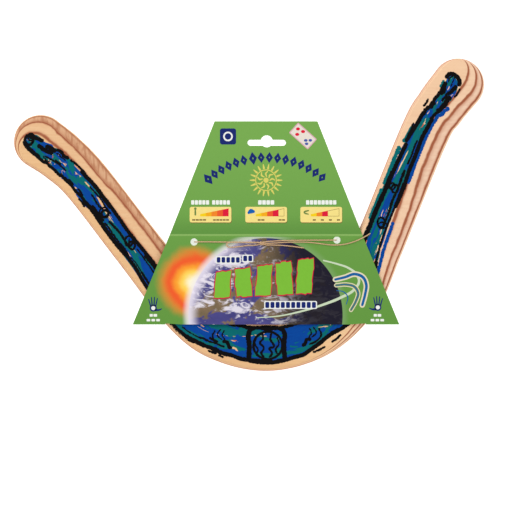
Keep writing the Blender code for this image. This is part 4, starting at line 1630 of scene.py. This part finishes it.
def gauge_wedges(inks):
    """A rising wedge on each panel, in steps of colour as far as it's filled and a thin line beyond."""
    steps = {name: [] for name in SHADES}
    rest = []
    count = len(SHADES)
    for x, filled in zip(PANELS, (5, 4, 3)):
        for k in range(filled):
            low, high = (x + WEDGE_START + WEDGE_RUN * edge / count for edge in (k, k + 1))
            rise = [WEDGE_LOW + WEDGE_RISE * share for share in (k / count, (k + 1) / count)]
            high += WEDGE_OVERLAP
            wedge = ((low, WEDGE_BASE), (high, WEDGE_BASE), (high, WEDGE_BASE + rise[1]),
                     (low, WEDGE_BASE + rise[0]))
            steps[SHADES[round(k * 4 / (filled - 1))]].append([[Vector(p) for p in wedge]])
        if filled < count:
            empty, end = x + WEDGE_START + WEDGE_RUN * filled / count, x + WEDGE_START + WEDGE_RUN
            top = WEDGE_BASE + WEDGE_LOW + WEDGE_RISE * filled / count
            end_top = WEDGE_BASE + WEDGE_LOW + WEDGE_RISE
            outline = ((empty, WEDGE_BASE), (end, WEDGE_BASE), (end, end_top), (empty, top))
            inset = ((empty, WEDGE_BASE + WEDGE_LINE), (end - WEDGE_LINE, WEDGE_BASE + WEDGE_LINE),
                     (end - WEDGE_LINE, end_top - 0.4), (empty, top - WEDGE_LINE))
            rest.append([[Vector(p) for p in ring] for ring in (outline, inset)])
    for name, groups in steps.items():
        printed("print_wedge_" + name, groups, inks[name], "header", 3)
    printed("print_wedge_rest", rest, inks["brown"], "header", 3)


def run_of_bars(at, length, count, y, gap, tall, corner):
    """A word's place taken by plain bars, side by side from one end."""
    each = length / count
    return [[plate_outline(at + each * (k + 0.5), y, each - gap, tall, corner)] for k in range(count)]


def gauge_panels(inks):
    """Three pale panels, each with a rising wedge in five colours, a small mark and plain bars."""
    shadows = [[plate_outline(x + 0.25, -0.6, PANEL_WIDE, PANEL_TALL, PANEL_CORNER)] for x in PANELS]
    printed("print_panel_shadow", shadows, inks["brown"], "header", 1)
    panels = [[plate_outline(x, 0.0, PANEL_WIDE, PANEL_TALL, PANEL_CORNER)] for x in PANELS]
    printed("print_panels", panels, inks["straw"], "header", 2)
    gauge_wedges(inks)
    bars, captions = [], []
    # Under each wedge: where the bars start from the panel's middle, how far they reach, their lengths
    under = ((-15.5, 31.0, (12.0, 13.6)), (-7.2, 23.0, (6.0, 5.6)), (-7.2, 23.0, (3.0, 3.0, 3.0, 3.0)))
    for x, (start, reach, words) in zip(PANELS, under):
        gap = (reach - sum(words)) / (len(words) - 1)
        at = x + start
        for length in words:
            bars += run_of_bars(at, length, round(length / 3), -4.4, 0.35, 1.2, 0.3)
            at += length + gap
    for x, words in zip(PANELS, ((15.4, 15.2), (13.8,), (25.6,))):
        at = x - (sum(words) + 2.0 * (len(words) - 1)) / 2
        for length in words:
            captions += run_of_bars(at, length, round(length / 3.3), 10.2, 0.5, 3.6, 0.5)
            at += length + 2.0
    printed("print_panel_bars", bars, inks["brown"], "header", 3)
    printed("print_captions", captions, inks["white"], "header", 1)
    cloud = [(PANELS[1] + dx, dy) for dx, dy in ((-14.4, 1.6), (-12.6, 2.8), (-10.6, 2.6))]
    printed("print_cloud_mark", [[band(cloud, (2.2, 4.2, 2.6))]], inks["blue"], "header", 3)
    stem = plate_outline(PANELS[0] - 12.6, 1.6, 1.4, 4.6, 0.6)
    bend = band([(PANELS[2] - dx, dy) for dx, dy in ((10.6, 3.4), (14.0, 1.8), (10.8, 0.4))], (1.1, 1.5, 1.0))
    marks = [[stem], [disc(PANELS[0] - 12.6, 5.0, 1.1, 14)], [bend]]
    printed("print_small_marks", marks, inks["moss"], "header", 3)


ARCH_CENTRE = Vector((13.9, -25.4))
ARCH_RADIUS = 73.1
ROSETTE = Vector((13.8, 28.7))
ROSETTE_RAYS = 18
BADGE = (-17.8, 65.2)
STAMP = Vector((44.5, 65.6))
STAMP_TURN = math.radians(-42)
HANDS = ((-79.8, -77.6, 1), (106.6, -77.0, -1))
TITLE_LEFT, TITLE_RIGHT, TITLE_GAP = -30.5, 54.5, 4.4
TITLE_BLOCKS = 5


def header_prints(inks):
    """A badge, a tilted stamp, an arch of lozenges over a rosette, and the gauge panels."""
    navy, white = inks["navy"], inks["white"]
    printed("print_badge", [[plate_outline(*BADGE, 13.4, 13.4, 1.8)]], navy, "header", 1)
    printed("print_badge_ring", [[disc(*BADGE, 4.0), disc(*BADGE, 2.7)]], white, "header", 2)
    printed("print_stamp", [[plate_outline(*STAMP, 21.0, 11.5, 0.8, STAMP_TURN)]], inks["rose"], "header", 1)
    printed("print_stamp_field", [[plate_outline(*STAMP, 19.2, 9.8, 0.4, STAMP_TURN)]], inks["paper"],
            "header", 2)
    spin = Matrix.Rotation(STAMP_TURN, 2)
    reds = [spin @ Vector(p) + STAMP for p in ((-7.0, 1.6), (-4.4, -2.2), (-2.4, 2.8))]
    blues = [spin @ Vector(p) + STAMP for p in ((4.2, -1.2), (7.0, 1.4), (6.6, -2.8))]
    printed("print_stamp_red", [[disc(p.x, p.y, 1.7, 14, 1.3)] for p in reds], inks["red"], "header", 3)
    printed("print_stamp_blue", [[disc(p.x, p.y, 1.5, 14, 1.15)] for p in blues], inks["slate"], "header", 3)
    lozenges = []
    angles = [-41.2 + 5.3 * k for k in range(6)] + [-8.6 + 5.35 * k for k in range(10)]
    for k, degrees in enumerate(angles):
        a = math.radians(degrees)
        out = Vector((math.sin(a), math.cos(a)))
        side = Vector((out.y, -out.x))
        tall, wide = (5.5, 3.4) if k in (0, 6) else (4.6, 3.0)
        middle = ARCH_CENTRE + out * ARCH_RADIUS
        shape = [middle + out * tall, middle + side * wide, middle - out * tall, middle - side * wide]
        core = [middle + out * tall * 0.2, middle + side * wide * 0.2, middle - out * tall * 0.2,
                middle - side * wide * 0.2]
        lozenges.append([shape, core])
    printed("print_arch_lozenges", lozenges, navy, "header", 1)
    middle = ROSETTE
    rosette = [[disc(*middle, 9.0, 40), disc(*middle, 8.2, 40)], [disc(*middle, 2.2, 20)]]
    for k in range(ROSETTE_RAYS):
        a = 2 * math.pi * k / ROSETTE_RAYS
        out = Vector((math.cos(a), math.sin(a)))
        rosette.append([band([middle + out * 10.0, middle + out * 13.2], (1.7, 0.8))])
        if k % 2 == 0:
            bend = Vector((-out.y, out.x)) * 1.2
            curl = [middle + out * 3.2, middle + out * 5.2 + bend, middle + out * 7.4]
            rosette.append([band(curl, (0.9, 1.5, 0.8))])
    printed("print_rosette", rosette, inks["gold"], "header", 1)
    gauge_panels(inks)


def hand_shapes(x, y, way):
    """An open hand as a plain pictogram; way 1 has its thumb to the right."""
    shapes = [[disc(x, y, 2.9, 24), disc(x, y, 1.75, 20)]]
    for dx, tall, lean in ((-2.3, 5.2, -1.5), (-0.9, 6.8, -0.6), (0.7, 7.0, 0.3), (2.1, 6.0, 1.3)):
        shapes.append([band([(x + way * dx, y + 2.0), (x + way * (dx + lean), y + 2.0 + tall)], (1.1, 0.8))])
    thumb = [(x + way * 2.2, y - 1.6), (x + way * 4.6, y - 1.6), (x + way * 7.0, y - 0.6)]
    shapes.append([band(thumb, (1.9, 1.4, 0.7))])
    return shapes


def title_blocks(inks):
    """Five ragged, leaning blocks with a thin edge, in place of the title."""
    edge, fills = [], []
    reach = TITLE_RIGHT - TITLE_LEFT
    for k in range(TITLE_BLOCKS):
        a = TITLE_LEFT + reach * k / TITLE_BLOCKS + TITLE_GAP / 2
        b = TITLE_LEFT + reach * (k + 1) / TITLE_BLOCKS - TITLE_GAP / 2
        corners = []
        for x, top in ((a, False), (b, False), (b, True), (a, True)):
            share = (x - TITLE_LEFT) / reach
            low, high = -69.0 + 4.0 * share, -48.5 + 12.5 * share
            sway = 0.9 * (-1) ** k
            corners.append(Vector((x + (sway if top else -sway), high if top else low)))
        cut = []
        for p, q in zip(corners, corners[1:] + corners[:1]):
            for share in (0.0, 0.28, 0.36, 0.62, 0.70):
                jag = 0.0 if share == 0 else random.uniform(-0.7, 0.7)
                out = Vector((q.y - p.y, p.x - q.x)).normalized()
                cut.append(p.lerp(q, share) + out * jag)
        middle = sum(corners, Vector((0, 0))) / 4
        edge.append([[c + (c - middle).normalized() for c in cut]])
        fills.append([cut])
    printed("print_title_edge", edge, inks["crimson"], "card", 2)
    printed("print_title_blocks", fills, inks["leaf"], "card", 3)


def front_prints(inks):
    """What is printed over the picture: title blocks, bars, sweeping arcs and a hand on each side."""
    navy, white, cream = inks["navy"], inks["white"], inks["cream"]
    title_blocks(inks)
    rims, bars = [], []
    for x, y, wide, tall in ((-17.6, -37.6, 20.0, 4.6), (-1.4, -36.4, 8.4, 4.6), (34.2, -75.0, 43.0, 5.0)):
        rims.append([plate_outline(x, y, wide + 0.8, tall + 1.6, 1.2)])
        bars += run_of_bars(x - wide / 2, wide, round(wide / 4.4), y, 1.0, tall, 0.9)
    printed("print_subtitle_rims", rims, white, "card", 3)
    printed("print_subtitle_bars", bars, navy, "card", 4)
    orbit = [(61.6, -38.1), (72.6, -40.9), (82.2, -44.3), (89.1, -49.8), (91.0, -55.6), (87.0, -62.2),
             (75.4, -69.1), (61.6, -74.6), (41.0, -80.8), (24.4, -84.2), (6.6, -85.6)]
    sweep = band(orbit, (1.2, 1.6, 2.0, 2.2, 2.2, 1.8, 1.4, 1.0, 0.7))
    printed("print_orbit", [[sweep]], inks["mist"], "card", 1)
    outer = [(71.3, -53.9), (79.5, -51.9), (87.7, -49.4), (94.4, -52.2), (97.0, -58.1), (96.0, -66.3),
             (93.7, -75.0)]
    middle = [(72.0, -58.7), (80.9, -58.1), (87.3, -60.0), (90.2, -65.0), (88.4, -71.8), (84.3, -79.2)]
    inner = [(72.4, -63.0), (78.6, -64.4), (81.6, -68.4), (80.4, -74.4)]
    printed("print_arc_cream", [[band(outer, (4.4, 4.8, 4.6))], [band(middle, (3.4, 3.8, 3.4))]], cream,
            "card", 2)
    printed("print_arc_blue", [[band(outer, (1.9, 2.4, 2.0))], [band(inner, (0.6, 0.9, 0.6))]], inks["ocean"],
            "card", 3)
    printed("print_arc_green", [[band(middle, (1.9, 2.3, 1.9))]], inks["moss"], "card", 3)
    printed("print_arc_line", [[band(middle, (0.6, 0.9, 0.6))]], inks["ocean"], "card", 4)
    hands = [shape for x, y, way in HANDS for shape in hand_shapes(x, y, way)]
    printed("print_hands", hands, navy, "card", 1)
    printed("print_palms", [[disc(x, y, 1.7, 20)] for x, y, _ in HANDS], white, "card", 1)
    captions = []
    for x in (-79.8, 106.2):
        captions.append([plate_outline(x - 1.7, -83.6, 2.6, 2.2, 0.4)])
        captions.append([plate_outline(x + 1.7, -83.6, 3.0, 2.2, 0.4)])
        captions += [[plate_outline(x + dx, -87.6, 3.0, 2.0, 0.4)] for dx in (-4.0, 0.0, 4.0)]
    printed("print_hand_captions", captions, white, "card", 1)


def prints():
    colours = {
        "navy": (18, 36, 110), "white": (244, 246, 240), "straw": (250, 228, 138), "brown": (120, 98, 52),
        "yellow": (250, 210, 20), "amber": (248, 176, 24), "orange": (246, 136, 38),
        "tangerine": (240, 92, 44), "red": (226, 22, 58),
        "blue": (14, 96, 178), "moss": (112, 138, 70), "rose": (226, 176, 186),
        "paper": (236, 226, 214), "slate": (74, 92, 168), "gold": (222, 212, 104), "crimson": (206, 34, 66),
        "leaf": (126, 192, 56), "cream": (232, 222, 190), "mist": (206, 222, 190), "ocean": (22, 96, 160),
    }
    inks = {name: ink("ink_" + name, tint(*steps)) for name, steps in colours.items()}
    header_prints(inks)
    front_prints(inks)


# Making it all, the camera and the twine first

bpy.ops.object.select_all(action="DESELECT")
camera_above()
tie()
studio()
brush_work(Blank(blade()))
card()
prints()

visual_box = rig.bounds()
with open("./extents.json", "w") as file:
    json.dump({"cad": [list(corner) for corner in cad_box],
               "visual": [list(corner) for corner in visual_box]}, file)
